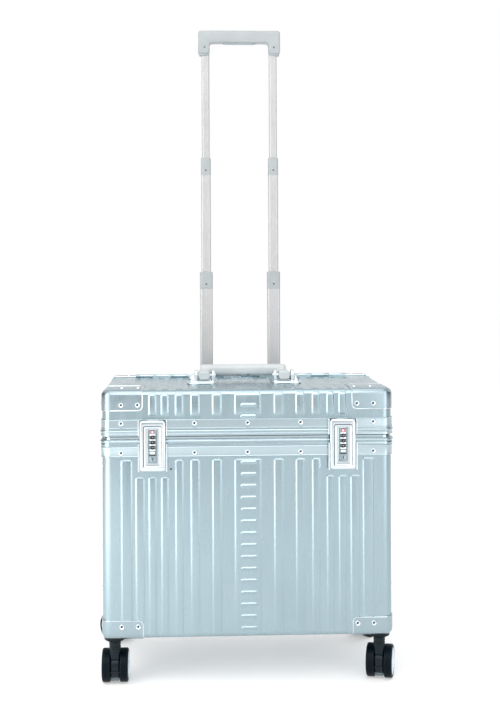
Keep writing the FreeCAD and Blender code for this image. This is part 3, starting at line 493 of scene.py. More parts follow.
def bend(y_side, z_side):
    """The rounded edge from an upright face to the top or bottom."""
    out, flat = AHEAD if y_side == FRONT else BEHIND, UP if z_side == TOP else DOWN
    centre = Vector((0, y_side - out.y * EDGE, z_side - flat.z * EDGE))
    return turned_edge(centre, out, flat, EDGE, 7)


def on_front(z):
    return (Vector((0, FRONT, z)), AHEAD)


def on_rear(z):
    return (Vector((0, REAR, z)), BEHIND)


def on_top(y):
    return (Vector((0, y, TOP)), UP)


EDGE_FADE = (0.93, 0.72, 0.42, 0.18, 0.05, 0)
LID_FADE = (0.55, 0.2, 0.04, 0)


def faded(start, edge, fade=EDGE_FADE):
    """A track from a soft start to a rounded edge, where the band sinks into the sheet."""
    return ramped([start, edge[0]], (True, False)) + [(p, n, rise) for (p, n), rise in zip(edge[1:], fade)]


def round_the_body(shape, low, high, front_top):
    """A band down the front, along the bottom and up the rear."""
    under = [(Vector((0, y, BOTTOM)), DOWN) for y in (FRONT + EDGE + 4, REAR - EDGE - 4)]
    rib(shape, low, high, faded(on_front(front_top), bend(FRONT, BOTTOM)))
    rib(shape, low, high, ramped(under))
    rib(shape, low, high, faded(on_rear(BODY_RIB_TOP), bend(REAR, BOTTOM)))


def mirrored(bands):
    return [(low, high) if sign > 0 else (-high, -low) for low, high in bands for sign in (-1, 1)]


def body_ribs():
    shape = Shape()
    for low, high in [CENTRE_BAND] + mirrored(INNER_BANDS):
        round_the_body(shape, low, high, BODY_RIB_TOP)
    for low, high in mirrored(LATCH_BANDS):
        round_the_body(shape, low, high, LATCH_RIB_TOP)
    guard_edge = GUARD_TOP - RIB_GAP
    for low, high in mirrored(OUTER_BANDS):
        top = LATCH_RIB_TOP if abs(low + high) / 2 < 170 else BODY_RIB_TOP
        rib(shape, low, high, ramped([on_front(top), on_front(guard_edge)], (True, False)))
        rib(shape, low, high, ramped([on_rear(BODY_RIB_TOP), on_rear(guard_edge)], (True, False)))
    return shape


RUNG_HALF = 12.6
RUNG_SHIFT = 1.4
RUNG_TALL = 6.6
RUNG_PITCH = 18.09
RUNG_STEPS = (
    (-0.2, -0.2, -0.2, -0.5), (0, 0, 0, 0), (0.3, 0.25, 0.7, 0.08), (0.6, 0.5, 1.2, 0.2),
    (1.5, 2.0, 3.0, 0.98), (1.8, 2.35, 3.5, 1.12), (2.2, 2.7, 3.7, 1.16),
)
RUNG_DOWN = 35
LID_RUNG_DOWN = 19.6
LID_RUNG_PITCH = 17.2
BODY_RUNGS = 15
LID_RUNGS = 2


def rung(shape, z, lift=RIB_HEIGHT):
    """A raised pill across the centre band: a clean slope above its crest and a longer one below."""
    rings = []
    for inset, above, below, out in RUNG_STEPS:
        bottom, top = z - RUNG_TALL / 2 + below, z + RUNG_TALL / 2 - above
        start, end = (RUNG_SHIFT - RUNG_HALF + inset, bottom), (RUNG_SHIFT + RUNG_HALF - inset, top)
        loop = rounded_rectangle(start, end, (top - bottom) * 0.45, 6)
        rings.append([Vector((x, FRONT - lift - out, height)) for x, height in loop])
    return shape.skin(rings)


def lid_ribs():
    """Up the lid's front, then again behind its smooth edge, back to the hinge."""
    hinge_line = span("hinge_leaf_lid")[0].y - RIB_GAP
    shape = Shape()
    for low, high in [CENTRE_BAND] + mirrored(INNER_BANDS + LATCH_BANDS):
        rib(shape, low, high, faded(on_front(LID_RIB_LOW), bend(FRONT, TOP), LID_FADE))
        rib(shape, low, high, ramped([on_top(FRONT + EDGE + 1), on_top(hinge_line)]))
    for low, high in mirrored(OUTER_BANDS):
        rib(shape, low, high, ramped([on_top(BEHIND_LID_GUARD), on_top(hinge_line)]))
    return shape


def deck_ribs():
    """Behind the hinge: over the rear edge, or only down the rear face where the trolley's bezel is."""
    low_end = span("deck_frame")[1].z + FRAME_GAP
    bezel_half = span("trolley_bezel")[1].x + 2
    shape = Shape()
    over = [on_top(span("hinge_leaf_body")[1].y + RIB_GAP), *reversed(bend(REAR, TOP)), on_rear(low_end)]
    down = [bend(REAR, TOP)[3], on_rear(TOP - EDGE), on_rear(low_end)]
    for low, high in [CENTRE_BAND] + mirrored(INNER_BANDS + LATCH_BANDS):
        rib(shape, low, high, ramped(over if min(abs(low), abs(high)) > bezel_half else down))
    return shape


SIDE_RIB = 14
SIDE_PITCH = 22.5


def side_ribs(shape, y_low, y_high, z_low, z_high):
    """Upright ribs on the left and right faces, spread evenly between two depths."""
    count = int((y_high - y_low - SIDE_RIB) // SIDE_PITCH) + 1
    first = (y_low + y_high) / 2 - SIDE_PITCH * (count - 1) / 2
    for sign in (-1, 1):
        normal = Vector((sign, 0, 0))
        for number in range(count):
            y = first + number * SIDE_PITCH
            track = [(Vector((sign * HALF_WIDTH, 0, z)), normal) for z in (z_low, z_high)]
            rib(shape, y - SIDE_RIB / 2, y + SIDE_RIB / 2, ramped(track), across=Vector((0, 1, 0)))
    return shape


SIDE_SEAM = 30
body_side = side_ribs(Shape(), FRONT + SIDE_SEAM, REAR - SIDE_SEAM, GUARD_TOP + 4, BODY_RIB_TOP)
lid_side = side_ribs(Shape(), BEHIND_LID_GUARD, LID_REAR - RIB_GAP, LID_RIB_LOW, TOP - EDGE)


def rungs(count, top, pitch):
    shape = Shape()
    for number in range(count):
        rung(shape, top - RUNG_TALL / 2 - number * pitch)
    return shape


for name, shape, body in (
    ("body_side_ribs", body_side, "case"),
    ("lid_side_ribs", lid_side, "lid"),
    ("body_ribs", body_ribs(), "case"),
    ("lid_ribs", lid_ribs(), "lid"),
    ("deck_ribs", deck_ribs(), "case"),
    ("ladder_rungs", rungs(BODY_RUNGS, PARTING - RUNG_DOWN, RUNG_PITCH), "case"),
    ("lid_rungs", rungs(LID_RUNGS, TOP - LID_RUNG_DOWN, LID_RUNG_PITCH), "lid"),
):
    piece(name, shape, body, SHEET_METAL, "ribbed_aluminium")

# ---------------------------------------------------------------- closing-edge frames


def plan_corner(x_sign, y_side):
    """A rounded corner seen from above, from the side face round to y_side."""
    out = AHEAD if y_side == FRONT else BEHIND
    centre = Vector((x_sign * (HALF_WIDTH - CORNER), y_side - out.y * CORNER, 0))
    return turned_edge(centre, Vector((x_sign, 0, 0)), out, CORNER, 8)


def flank_station(x_sign, y):
    return (Vector((x_sign * HALF_WIDTH, y, 0)), Vector((x_sign, 0, 0)))


def stations_round(y_side, first, flank_y):
    """From one side face, round an end of the case, to the other side face."""
    return [
        flank_station(first, flank_y), *plan_corner(first, y_side),
        *reversed(plan_corner(-first, y_side)), flank_station(-first, flank_y),
    ]


def swept(stations, profile, ends="cap"):
    """A closed (out, height) profile swept round the case, with heights counted from the parting."""
    rings = []
    for point, normal in stations:
        rings.append([point + normal * out + Vector((0, 0, PARTING + height)) for out, height in profile])
    return Shape().skin(rings, ends=ends)


def bead(low, high, root, out, steps=8):
    """A rounded rib of a frame's profile between two heights."""
    centre, tall = (low + high) / 2, (high - low) / 2
    turns = [math.pi * k / steps for k in range(steps + 1)]
    return [(root + (out - root) * math.sin(t), centre - tall * math.cos(t)) for t in turns]


LID_PROFILE = [
    (-0.6, 2.5), (1.9, 2.5), (2.4, 3.0), (2.4, 6.0), (2.05, 6.45), (1.2, 6.7), (1.2, 7.8),
    *bead(8.2, 12.3, 1.3, 3.2),
    (1.2, 12.8), (1.2, 13.4), (2.0, 13.8), (2.3, 14.4), (2.2, 15.0), (1.6, 15.6),
    (1.6, 26.4), (1.95, 26.9), (2.0, 27.9), (1.5, 28.5), (-0.6, 28.5),
]
BODY_PROFILE = [
    (-0.6, -2.5), (2.0, -2.5), (2.3, -2.9), (1.5, -3.1),
    *reversed(bead(-7.0, -3.2, 1.5, 3.2)),
    (1.2, -7.4), (1.2, -8.2), (2.2, -8.7), (2.4, -9.2), (2.4, -10.8), (2.1, -11.3),
    (1.2, -11.7), (1.2, -12.8),
    (2.3, -13.4), (2.6, -13.9), (2.5, -14.6), (1.75, -17.2), (1.6, -18.0),
    (1.6, -27.3), (1.95, -27.8), (2.0, -28.9), (1.5, -29.5), (-0.6, -29.5),
]
ROUND_FRONT, ROUND_REAR = stations_round(FRONT, -1, LID_REAR), stations_round(REAR, 1, DECK_FRONT)
for node, body, stations, profile, ends in (
    ("lid_frame", "lid", ROUND_FRONT, LID_PROFILE, "cap"),
    ("deck_frame", "case", ROUND_REAR, LID_PROFILE, "cap"),
    ("body_frame", "case", ROUND_FRONT + ROUND_REAR, BODY_PROFILE, "join"),
):
    shape = swept(stations, profile, ends)
    piece(node + "_extrusion", shape, body, FRAME_METAL, "frame_aluminium", [node], 25)

# ---------------------------------------------------------------- corner guards

GUARD_OUT = 1.35
GUARD_FLAP_ROUND = 7
RIM_RADIUS = 0.75


def guard_stations(x_sign, y_side, reach):
    """Round one corner from the free edge on the side face to the free edge on the front or rear."""
    y_sign = -1 if y_side == FRONT else 1
    fine = [GUARD_FLAP_ROUND * (1 - math.cos(math.radians(t))) for t in (0, 22, 40, 55, 70, 90)]
    side = [flank_station(x_sign, y_side - y_sign * (reach - step)) for step in fine]
    inner_x = HALF_WIDTH - GUARD_REACH
    face = [(Vector((x_sign * (inner_x + step), y_side, 0)), Vector((0, y_sign, 0))) for step in fine]
    corner = plan_corner(x_sign, y_side)
    steps = fine + [None] * len(corner) + fine[::-1]
    return [(*station, step) for station, step in zip(side + corner + face[::-1], steps)]


def guard(x_sign, y_side, level, reach, tall):
    """A pressed corner cap: a band round the corner, its rounded edge and the flap on the top or bottom.

    level is the face it caps, reach how far it goes along the side and tall how far down or up.
    """
    up = 1 if level == TOP else -1
    y_sign = -1 if y_side == FRONT else 1
    rings, border = [], []
    for point, normal, step in guard_stations(x_sign, y_side, reach):
        lift = 0
        if step is not None:
            drop = GUARD_FLAP_ROUND - step
            lift = GUARD_FLAP_ROUND - math.sqrt(max(GUARD_FLAP_ROUND ** 2 - drop ** 2, 0))
        ring = []
        for depth in (tall - lift, (tall - lift + EDGE) / 2, EDGE):
            ring.append((point + UP * (level - up * depth), normal))
        for turn in quarter(6)[1:]:
            place = point - normal * EDGE * (1 - math.cos(turn))
            place = place + UP * (level - up * EDGE * (1 - math.sin(turn)))
            ring.append((place, normal * math.cos(turn) + UP * (up * math.sin(turn))))
        rings.append(ring)
        border.append(ring[0])
    # the flap on the level face, as an outline from the last station back to the first
    flat_normal = Vector((0, 0, up))
    inner_x = HALF_WIDTH - GUARD_REACH
    far_y = y_side - y_sign * reach
    flap = [
        (Vector((x_sign * (inner_x + inset), far_y + y_sign * depth, level)), flat_normal)
        for depth, inset in rounding(GUARD_FLAP_ROUND, 6)
    ]
    shape = Shape()
    shape.skin([[p + n * GUARD_OUT for p, n in ring] for ring in rings], around=False, ends="open")
    top_edge = [ring[-1] for ring in rings]
    flap_points = [p + n * GUARD_OUT for p, n in top_edge + flap]
    shape.add(flap_points, [tuple(range(len(flap_points)))])
    # one closed border: along the band's free edge, up its end, round the flap and down the other end
    whole = border + list(rings[-1][1:]) + flap + list(reversed(rings[0][1:]))
    inner = [p - n * 0.3 for p, n in whole]
    outer = [p + n * GUARD_OUT for p, n in whole]
    shape.skin([inner, outer], ends="open")
    return shape, whole


def rim(shape, border, radius=RIM_RADIUS, steps=8):
    """A rounded bead along a guard's border."""
    count = len(border)
    rings = []
    for number in range(count):
        point, normal = border[number]
        before, after = border[number - 1][0], border[(number + 1) % count][0]
        along = (after - before).normalized()
        side = along.cross(normal).normalized()
        centre = point + normal * (GUARD_OUT - 0.15)
        rings.append([
            centre + side * radius * math.cos(t) + normal * radius * math.sin(t) for t in circle(steps)
        ])
    return shape.skin(rings, ends="join")


def guard_piece(name, body, corners, *nodes):
    skins, rims = Shape(), Shape()
    for x_sign, y_side, level, reach, tall in corners:
        skin_shape, border = guard(x_sign, y_side, level, reach, tall)
        skins.join(skin_shape)
        rim(rims, border)
    piece(name + "_cap", skins, body, GUARD_METAL, "guard_aluminium", nodes)
    piece(name + "_rim", rims, body, BRIGHT_METAL, "guard_aluminium")


LID_GUARD_TALL = TOP - span("lid_guard_left")[0].z
BODY_GUARD_TALL = GUARD_TOP - BOTTOM
DECK_GUARD_REACH = REAR - span("deck_guards")[0].y
for side, sign in SIDES:
    corner = (sign, FRONT, TOP, GUARD_REACH, LID_GUARD_TALL)
    guard_piece(f"lid_corner_{side}", "lid", [corner], f"lid_guard_{side}")
    for end, y_side in (("front", FRONT), ("rear", REAR)):
        corner = (sign, y_side, BOTTOM, GUARD_REACH, BODY_GUARD_TALL)
        guard_piece(f"bottom_corner_{end}_{side}", "case", [corner], f"bottom_guard_{end}_{side}")
deck_corners = [(sign, REAR, TOP, DECK_GUARD_REACH, LID_GUARD_TALL) for side, sign in SIDES]
guard_piece("deck_corners", "case", deck_corners, "deck_guards")

# ---------------------------------------------------------------- rivets

RIVET_RING = [
    (1.5, -0.4), (1.5, 0.25), (1.9, 0.55), (2.9, 1.2), (3.2, 1.32),
    (3.5, 1.2), (3.9, 0.6), (4.1, 0.02), (4.1, -0.4),
]
RIVET_STUB = [(0, 1.0), (0.6, 0.95), (1.1, 0.75), (1.45, 0.35), (1.48, -0.4), (0, -0.4)]
RIVET_SINK = 0.15


def rivet_place(low, high):
    """Where a head sits and which way it points, from the box of its CAD solid."""
    sizes = high - low
    axis = min(range(3), key=lambda k: sizes[k])
    centre = (low + high) / 2
    direction = Vector((0, 0, 0))
    limits = (0, (FRONT + REAR) / 2, 0)
    direction[axis] = 1 if centre[axis] > limits[axis] else -1
    centre[axis] = (low if direction[axis] > 0 else high)[axis] - RIVET_SINK * direction[axis]
    return centre, direction


def rivet_heads(node, body):
    """Blind rivets: a domed ring round the stub of its pin, coloured near-black as a painted dark reflection.
    """
    rings, stubs = Shape(), Shape()
    for low, high in solids_of(node):
        centre, direction = rivet_place(low, high)
        place = looking(centre, direction)
        rings.lathe(RIVET_RING, place, 24)
        stubs.lathe(RIVET_STUB, place, 12)
    piece(node + "_domed", rings, body, RIVET_METAL, "rivet_steel", [node], 50)
    # the stubs' near-black colour is a painted dark reflection
    piece(node + "_stubs", stubs, body, PIN_PAINTED_REFLECTION, "rivet_steel")


rivet_heads("lid_rivets", "lid")
rivet_heads("body_rivets", "case")

# ---------------------------------------------------------------- latches


BORDER = 4.9
LEVER_CLEARANCE = 0.6
LEVER_CORNER = 4.6
CROWN_EDGE, CROWN_INSET = 2, 3.6
CROWN_RISE, CROWN_LIP = 1.65, 0.35
RECESS_DEPTH = 2.4
RECESS_BELOW, RECESS_ABOVE = 7.5, 4.6
RECESS_CORNER = 4
RECESS_WALL = ((-1.0, 0), (-0.5, 0.1), (-0.1, 0.3), (0.2, 0.7), (3.1, 2.3), (3.6, RECESS_DEPTH))
RECESS_SHADE_RING = ((0.0, 0.4), (0.0, 1.5), (1.2, 1.5), (1.2, 0.95))
WINDOW_GAP, WINDOW_CORNER = 0.1, 1.2
SILL_INSET, SILL_TOP = 1.7, 7.2
PLATE_EDGE = ((0, 0.9), (0.25, 0.35), (0.8, 0), (1.5, 0), (1.9, 0.35), (2.2, 0.9))


def front_loop(x, half, low_z, high_z, radius, y):
    """A rounded rectangle facing the front, at a depth y, with heights counted from the parting."""
    loop = rounded_rectangle((x - half, PARTING + low_z), (x + half, PARTING + high_z), radius)
    return [Vector((u, y, v)) for u, v in loop]


def face_of(node):
    """A node's middle across, half its width, and its heights counted from the parting."""
    low, high = span(node)
    return (low.x + high.x) / 2, (high.x - low.x) / 2, low.z - PARTING, high.z - PARTING


def lever_shape(node, insert):
    """The lever as one closed ring: back, rounded outer edge, crowned border, recess and window."""
    x, half, z0, z1 = face_of(node)
    half -= LEVER_CLEARANCE
    front, back = span(node)[0].y, span(node)[1].y
    _, window, w0, w1 = face_of(insert)
    window, w0, w1 = window + WINDOW_GAP, w0 - WINDOW_GAP, w1 + WINDOW_GAP
    rows = [(0, back), (0, front + CROWN_LIP + CROWN_RISE)]
    for turn in quarter(3)[1:]:
        inset, rise = CROWN_EDGE * (1 - math.cos(turn)), CROWN_RISE * (1 - math.sin(turn))
        rows.append((inset, front + CROWN_LIP + rise))
    rows.append((CROWN_INSET, front))
    loops = [
        front_loop(x, half - inset, z0 + inset, z1 - inset, LEVER_CORNER - inset, y) for inset, y in rows
    ]
    for inset, depth in RECESS_WALL:
        low, high = w0 - RECESS_BELOW + inset, w1 + RECESS_ABOVE - inset
        corner = max(RECESS_CORNER - inset, 1)
        loops.append(front_loop(x, half - BORDER - inset, low, high, corner, front + depth))
    loops += [front_loop(x, window, w0, w1, WINDOW_CORNER, y) for y in (front + RECESS_DEPTH, back)]
    return Shape().skin(loops, ends="join")


def slotted_sill(node):
    """The wider, brighter sill across the foot of the lever."""
    low, high = span(node)
    start = (low.x + SILL_INSET, low.y - 0.02, low.z + SILL_INSET)
    return soft_block(start, (high.x - SILL_INSET, low.y + 1.2, low.z + SILL_TOP), 2.2, 0.5, along=1)


def gap_line(node, insert):
    """A dark ring of painted shade where the sloping wall of the recess starts."""
    x, half, _, _ = face_of(node)
    side, face = half - LEVER_CLEARANCE - BORDER, span(node)[0].y
    _, _, w0, w1 = face_of(insert)
    low, high = w0 - WINDOW_GAP - RECESS_BELOW, w1 + WINDOW_GAP + RECESS_ABOVE
    loops = [
        front_loop(x, side - inset, low + inset, high - inset, RECESS_CORNER - inset, face + depth)
        for inset, depth in RECESS_SHADE_RING
    ]
    return Shape().skin(loops, ends="join")


def insert_shape(node):
    """The lock plate: bevelled rim standing in the lever's window."""
    x, half, z0, z1 = face_of(node)
    low, high = span(node)
    rows = [(0, high.y)] + [(inset, low.y + depth) for inset, depth in PLATE_EDGE]
    return Shape().skin([
        front_loop(x, half - inset, z0 + inset, z1 - inset, max(1.6 - inset, 0.5), y) for inset, y in rows
    ])


DIAL_SEEN = 2.35
DIAL_SLOT_HALF = 4.3
DIAL_RIM = [(3.05, 0.62), (2.9, 0.78), (DIAL_SEEN, 0.86), (1.9, 0.975)]
DIAL_GROOVE = 0.93
DIGIT_SIZE = 3.0
DIGIT_SPREAD = 0.78


def dial_shape(node):
    """A thumb wheel: a black barrel with ten flats and a dished top and bottom."""
    low, high = span(node)
    centre = (low + high) / 2
    radius = (high.x - low.x) / 2
    rings = []
    for z, share in [(-z, share) for z, share in DIAL_RIM] + DIAL_RIM[::-1]:
        ring = []
        for step, turn in enumerate(circle(40)):
            reach = radius * share * (DIAL_GROOVE if step % 4 == 2 and share > 0.9 else 1.0)
            ring.append(centre + Vector((reach * math.cos(turn), reach * math.sin(turn), z)))
        rings.append(ring)
    return Shape().skin(rings), centre, radius


def digit_mesh(digit):
    curve = bpy.data.curves.new("digit", "FONT")
    curve.body = str(digit)
    curve.size = DIGIT_SIZE * MM
    curve.extrude = 0.05 * MM
    curve.align_x = curve.align_y = "CENTER"
    curve.resolution_u = 3
    item = bpy.data.objects.new("digit", curve)
    bpy.context.scene.collection.objects.link(item)
    bpy.context.view_layer.update()
    mesh = bpy.data.meshes.new_from_object(item.evaluated_get(bpy.context.evaluated_depsgraph_get()))
    shape = Shape().add([v.co / MM for v in mesh.vertices], [tuple(p.vertices) for p in mesh.polygons])
    bpy.data.objects.remove(item)
    bpy.data.meshes.remove(mesh)
    return shape


DIGITS = [digit_mesh(digit) for digit in range(10)]


def dial_digits(centre, radius, shown):
    """Ten digits round a dial, with one of them at the front."""
    shape = Shape()
    for place in range(10):
        turn = math.radians(-90 + 36 * place)
        out = Vector((math.cos(turn), math.sin(turn), 0))
        upright = Matrix((Vector((-out.y, out.x, 0)), Vector((0, 0, 1)), out)).transposed().to_4x4()
        where = Matrix.Translation(centre + out * (radius * 0.975))
        small = Matrix.Diagonal((DIGIT_SPREAD, 1, 1, 1))
        shape.placed(DIGITS[(shown + place) % 10], where @ upright @ small)
    return shape


def separators(side):
    """Bright bars of the lock plate above, between and below the dials."""
    shape = Shape()
    first, second = middle(f"dial_{side}_1"), middle(f"dial_{side}_2")
    pitch = first.z - second.z
    face = span(f"lock_insert_{side}")[0].y
    half = (pitch - 2 * DIAL_SEEN) / 2
    for number in range(4):
        z = first.z + pitch / 2 - number * pitch
        depths, heights = (face - 0.5, face + 1.6), (z - half, z + half)
        shape.join(bar(first.x, DIAL_SLOT_HALF + 0.1, depths, heights, 0.5, 0.35))
    return shape


BADGE_RING = [(1.55, 0), (1.55, 0.55), (1.75, 0.75), (2.45, 0.75), (2.7, 0.5), (2.7, 0), (1.55, 0)]
BADGE_DOME = [(0, 0.62), (0.7, 0.58), (1.2, 0.42), (1.5, 0.2), (1.5, 0), (0, 0)]
KEY_COLLAR = ((0.1, 0), (0.1, 0.9), (0.45, 1.1), (1.0, 0.9), (1.25, 0), (0.1, 0))
PLATE_SINK = 0.9
SLOT_CUT = 3
SHADOW_BAR_HALF = 4.9
KEYWAY_HALF, KEYWAY_TALL, KEYWAY_DEPTH = 0.55, 2.3, 2.4
BUTTON_GAP, BUTTON_CORNER = 0.3, 2.1
BUTTON_CROWN = ((0, 1.2), (0.25, 0.6), (0.8, 0.2), (1.5, 0))


def lock_details(side):
    """The lock plate with its dial bars, badge, button and key cylinder."""
    body, plate = f"latch_{side}", f"lock_insert_{side}"
    button, plug = f"latch_button_{side}", f"key_cylinder_{side}"
    low, high = span(plate)
    x, face = (low.x + high.x) / 2, low.y
    button_low, button_high = span(button)
    key_low, key_high = span(plug)
    key = middle(plug)
    key_radius = key_high.x - key.x
    dial_low, dial_high = span(f"dial_{side}_3")[0].z, span(f"dial_{side}_1")[1].z
    item = mesh_object(f"lock_plate_{side}", insert_shape(plate))
    through = (face - SLOT_CUT, high.y + SLOT_CUT)
    button_slot = soft_block(
        (button_low.x - BUTTON_GAP, through[0], button_low.z - BUTTON_GAP),
        (button_high.x + BUTTON_GAP, through[1], button_high.z + BUTTON_GAP), 1.2, 0.1, along=1,
    )
    barrel = cylinder(key_radius + 0.06, 20, looking((x, face - 4, key.z), BEHIND), 0.05)
    dial_slot = bar(x, DIAL_SLOT_HALF, through, (dial_low - 0.5, dial_high + 0.5), 0.6)
    subtract(item, dial_slot, button_slot, barrel)
    finished(item, body, LOCK_METAL, [plate], 25)
    piece(f"dial_bars_{side}", separators(side), body, BRIGHT_METAL, "lock_satin")
    # the ring badge above the dials
    at_badge = looking((x, face + PLATE_SINK, (dial_high + high.z) / 2 - 0.2), AHEAD)
    piece(f"badge_ring_{side}", Shape().lathe(BADGE_RING, at_badge), body, RING_RED, "polished_metal")
    piece(f"badge_centre_{side}", Shape().lathe(BADGE_DOME, at_badge), body, INK_WHITE, "polished_metal")
    # a collar round the key, and under the button a dark bar of painted shadow
    ring = [(key_radius + out, rise) for out, rise in KEY_COLLAR]
    at_key = looking((x, face + PLATE_SINK, key.z), AHEAD)
    piece(f"key_collar_{side}", Shape().lathe(ring, at_key, 40), body, LOCK_METAL, "lock_satin")
    shadow_bar = bar(x, SHADOW_BAR_HALF, (face - 0.35, face + 1.2), (button_low.z - 2.1, button_low.z - 0.9), 0.5, 0.3)
    piece(f"button_lip_{side}", shadow_bar, body, DARK_METAL_AND_GAP_SHADE, "lock_satin")
    # the button: a crowned bar
    rows = [(0.3, button_high.y), (0, button_high.y - 0.3)]
    rows += [(inset, button_low.y + depth) for inset, depth in BUTTON_CROWN]
    loops = []
    for inset, y in rows:
        start = (button_low.x + inset, button_low.z + inset)
        end = (button_high.x - inset, button_high.z - inset)
        loops.append([Vector((u, y, v)) for u, v in rounded_rectangle(start, end, BUTTON_CORNER - inset, 6)])
    crowned = Shape().skin(loops)
    piece(f"latch_button_bar_{side}", crowned, button, BRIGHT_METAL, "polished_metal", [button], 40)
    # the key cylinder, with its keyway
    rod = cylinder(key_radius, key_high.y - key_low.y, looking((x, key_low.y, key.z), BEHIND), 0.5, 40)
    item = mesh_object(f"key_plug_{side}", rod)
    cut = (key_low.y - 1, key_low.y + KEYWAY_DEPTH)
    ward = bar(x + 0.5, 0.6, cut, (key.z - 0.7, key.z + 0.4), 0.2, 0.05)
    keyway = bar(x, KEYWAY_HALF, cut, (key.z - KEYWAY_TALL, key.z + KEYWAY_TALL), edge=0.05)
    subtract(item, keyway, ward)
    finished(item, plug, LOCK_METAL, [plug], 35)
    # a dark bar of painted shade inside the keyway
    keyway_shade = bar(x, 0.5, (key_low.y + 0.5, key_low.y + 2.3), (key.z - 2.2, key.z + 2.2), edge=0.05)
    piece(f"keyway_{side}", keyway_shade, plug, DARK_METAL_AND_GAP_SHADE, "polished_metal")


SHOWN_DIGITS = {"left": (3, 0, 7), "right": (5, 2, 8)}
POCKET_HALF, POCKET_DEPTH = 9, 3.2
LUG_HALF, LUG_DEPTH = 4, 2.4
KNUCKLE_HALF, KNUCKLE_RADIUS = 4.5, 2.1


def latch(side):
    """A lever with its hinge knuckle, sill, lock and dials."""
    body, node, plate = f"latch_{side}", f"latch_lever_{side}", f"lock_insert_{side}"
    low, high = span(node)
    pin = middle("latch_pins")
    x = (low.x + high.x) / 2
    past = high.y + SLOT_CUT
    strike = span("latch_strikes")
    item = mesh_object(f"latch_lever_body_{side}", lever_shape(node, plate))
    pocket = bar(x, POCKET_HALF, (high.y - POCKET_DEPTH, past), (pin.z - 5, high.z + 3))
    lug = bar(x, LUG_HALF, (high.y - LUG_DEPTH, past), (strike[0].z - 4, strike[1].z + 1))
    subtract(item, pocket, lug)
    finished(item, body, LEVER_METAL, [node], 30)
    along_pin = looking((x - KNUCKLE_HALF, pin.y, pin.z), (1, 0, 0))
    barrel = cylinder(KNUCKLE_RADIUS, 2 * KNUCKLE_HALF, along_pin, 0.3, 24)
    web = bar(x, KNUCKLE_HALF, (low.y + 1.5, pin.y), (pin.z - KNUCKLE_RADIUS, pin.z + KNUCKLE_RADIUS))
    piece(f"latch_knuckle_{side}", Shape().join(barrel, web), body, BRIGHT_METAL, "polished_metal")
    piece(f"latch_sill_{side}", slotted_sill(node), body, BRIGHT_METAL, "polished_metal")
    # the dark ring at the top of the recess wall is painted shade
    piece(f"recess_seam_{side}", gap_line(node, plate), body, DARK_METAL_AND_GAP_SHADE, "lock_satin")
    lock_details(side)
    for number, shown in enumerate(SHOWN_DIGITS[side], 1):
        dial = f"dial_{side}_{number}"
        shape, centre, radius = dial_shape(dial)
        piece(f"thumb_wheel_{side}_{number}", shape, dial, DIAL_PLASTIC, "dial_black", [dial], 25)
        piece(f"digits_{side}_{number}", dial_digits(centre, radius, shown), dial, INK_WHITE, "dial_black")


for side, _ in SIDES:
    latch(side)


RAIL_NEAR, RAIL_FAR = 0.4, 2.2
STOP_APART, STOP_RISE = 7.6, 1.4
STOP_PIN = [(0, 0.9), (0.9, 0.8), (1.5, 0.3), (1.6, -0.4), (0, -0.4)]


def lid_guides():
    """Thin rails on the lid's frame, one on each side of a closed lever."""
    shape = Shape()
    for side, _ in SIDES:
        low, high = span(f"latch_lever_{side}")
        for x0, x1 in ((low.x - RAIL_FAR, low.x - RAIL_NEAR), (high.x + RAIL_NEAR, high.x + RAIL_FAR)):
            start, end = (x0, FRONT - 9.6, PARTING + 3.4), (x1, FRONT - 1.2, high.z + 0.4)
            shape.join(soft_block(start, end, 1.6, 0.5, along=0))
    piece("lid_guides", shape, "lid", BRIGHT_METAL, "polished_metal")


lid_guides()
lever_low, lever_high = span("latch_lever_left")
stop_place = looking((lever_high.x + STOP_APART, FRONT, lever_low.z + STOP_RISE), AHEAD)
stop_pin = Shape().lathe(STOP_PIN, stop_place, 20)
piece("latch_stop_pin", stop_pin, "case", DARK_METAL_AND_GAP_SHADE, "rivet_steel")


def soften(node, material, width):
    """Keeps a CAD node's shape, with a material and, where a width is given, its sharp edges rounded."""
    item = frame["nodes"][node]
    if width:
        weld = item.modifiers.new("Weld", "WELD")
        weld.merge_threshold = 1e-6
        bevel = item.modifiers.new("Bevel", "BEVEL")
        bevel.width = width * MM
        bevel.segments = 3
        bevel.limit_method = "ANGLE"
        bevel.angle_limit = math.radians(40)
        bevel.harden_normals = True
    item.data.materials.clear()
    item.data.materials.append(material)


for node, material, width in (
    ("latch_backings", FRAME_METAL, 0.4),
    ("latch_cheeks", BRIGHT_METAL, 0.5),
    ("latch_strikes", BRIGHT_METAL, 0.25),
    ("latch_mounts", BRIGHT_METAL, 0.25),
    ("latch_pins", RIVET_METAL, 0.2),
    ("hinge_leaf_body", FRAME_METAL, 0.25),
    ("hinge_leaf_lid", FRAME_METAL, 0.25),
    ("hinge_pin", RIVET_METAL, 0.2),
    ("carry_pins", RIVET_METAL, 0.3),
    ("rim_tongue", FRAME_METAL, 0.3),
    ("rear_partition", FRAME_METAL, 0.3),
    ("trolley_outer_tubes", TUBE_METAL, 0.3),
    ("body_shell", SHEET_METAL, None),
    ("lid_shell", SHEET_METAL, None),
):
    soften(node, material, width)

# ---------------------------------------------------------------- carry handle


ARM_WIDE = 19
CHEEK_SET = 5
PIN_RADIUS = 2.55
BRACKET_DOME = [(0, 11), (2.2, 10.6), (4.4, 9.2), (6.4, 6.4), (7.8, 3), (8.4, 0), (8.4, -1), (0, -1)]
BEAD_APART, BEAD_HALF = 8, 4


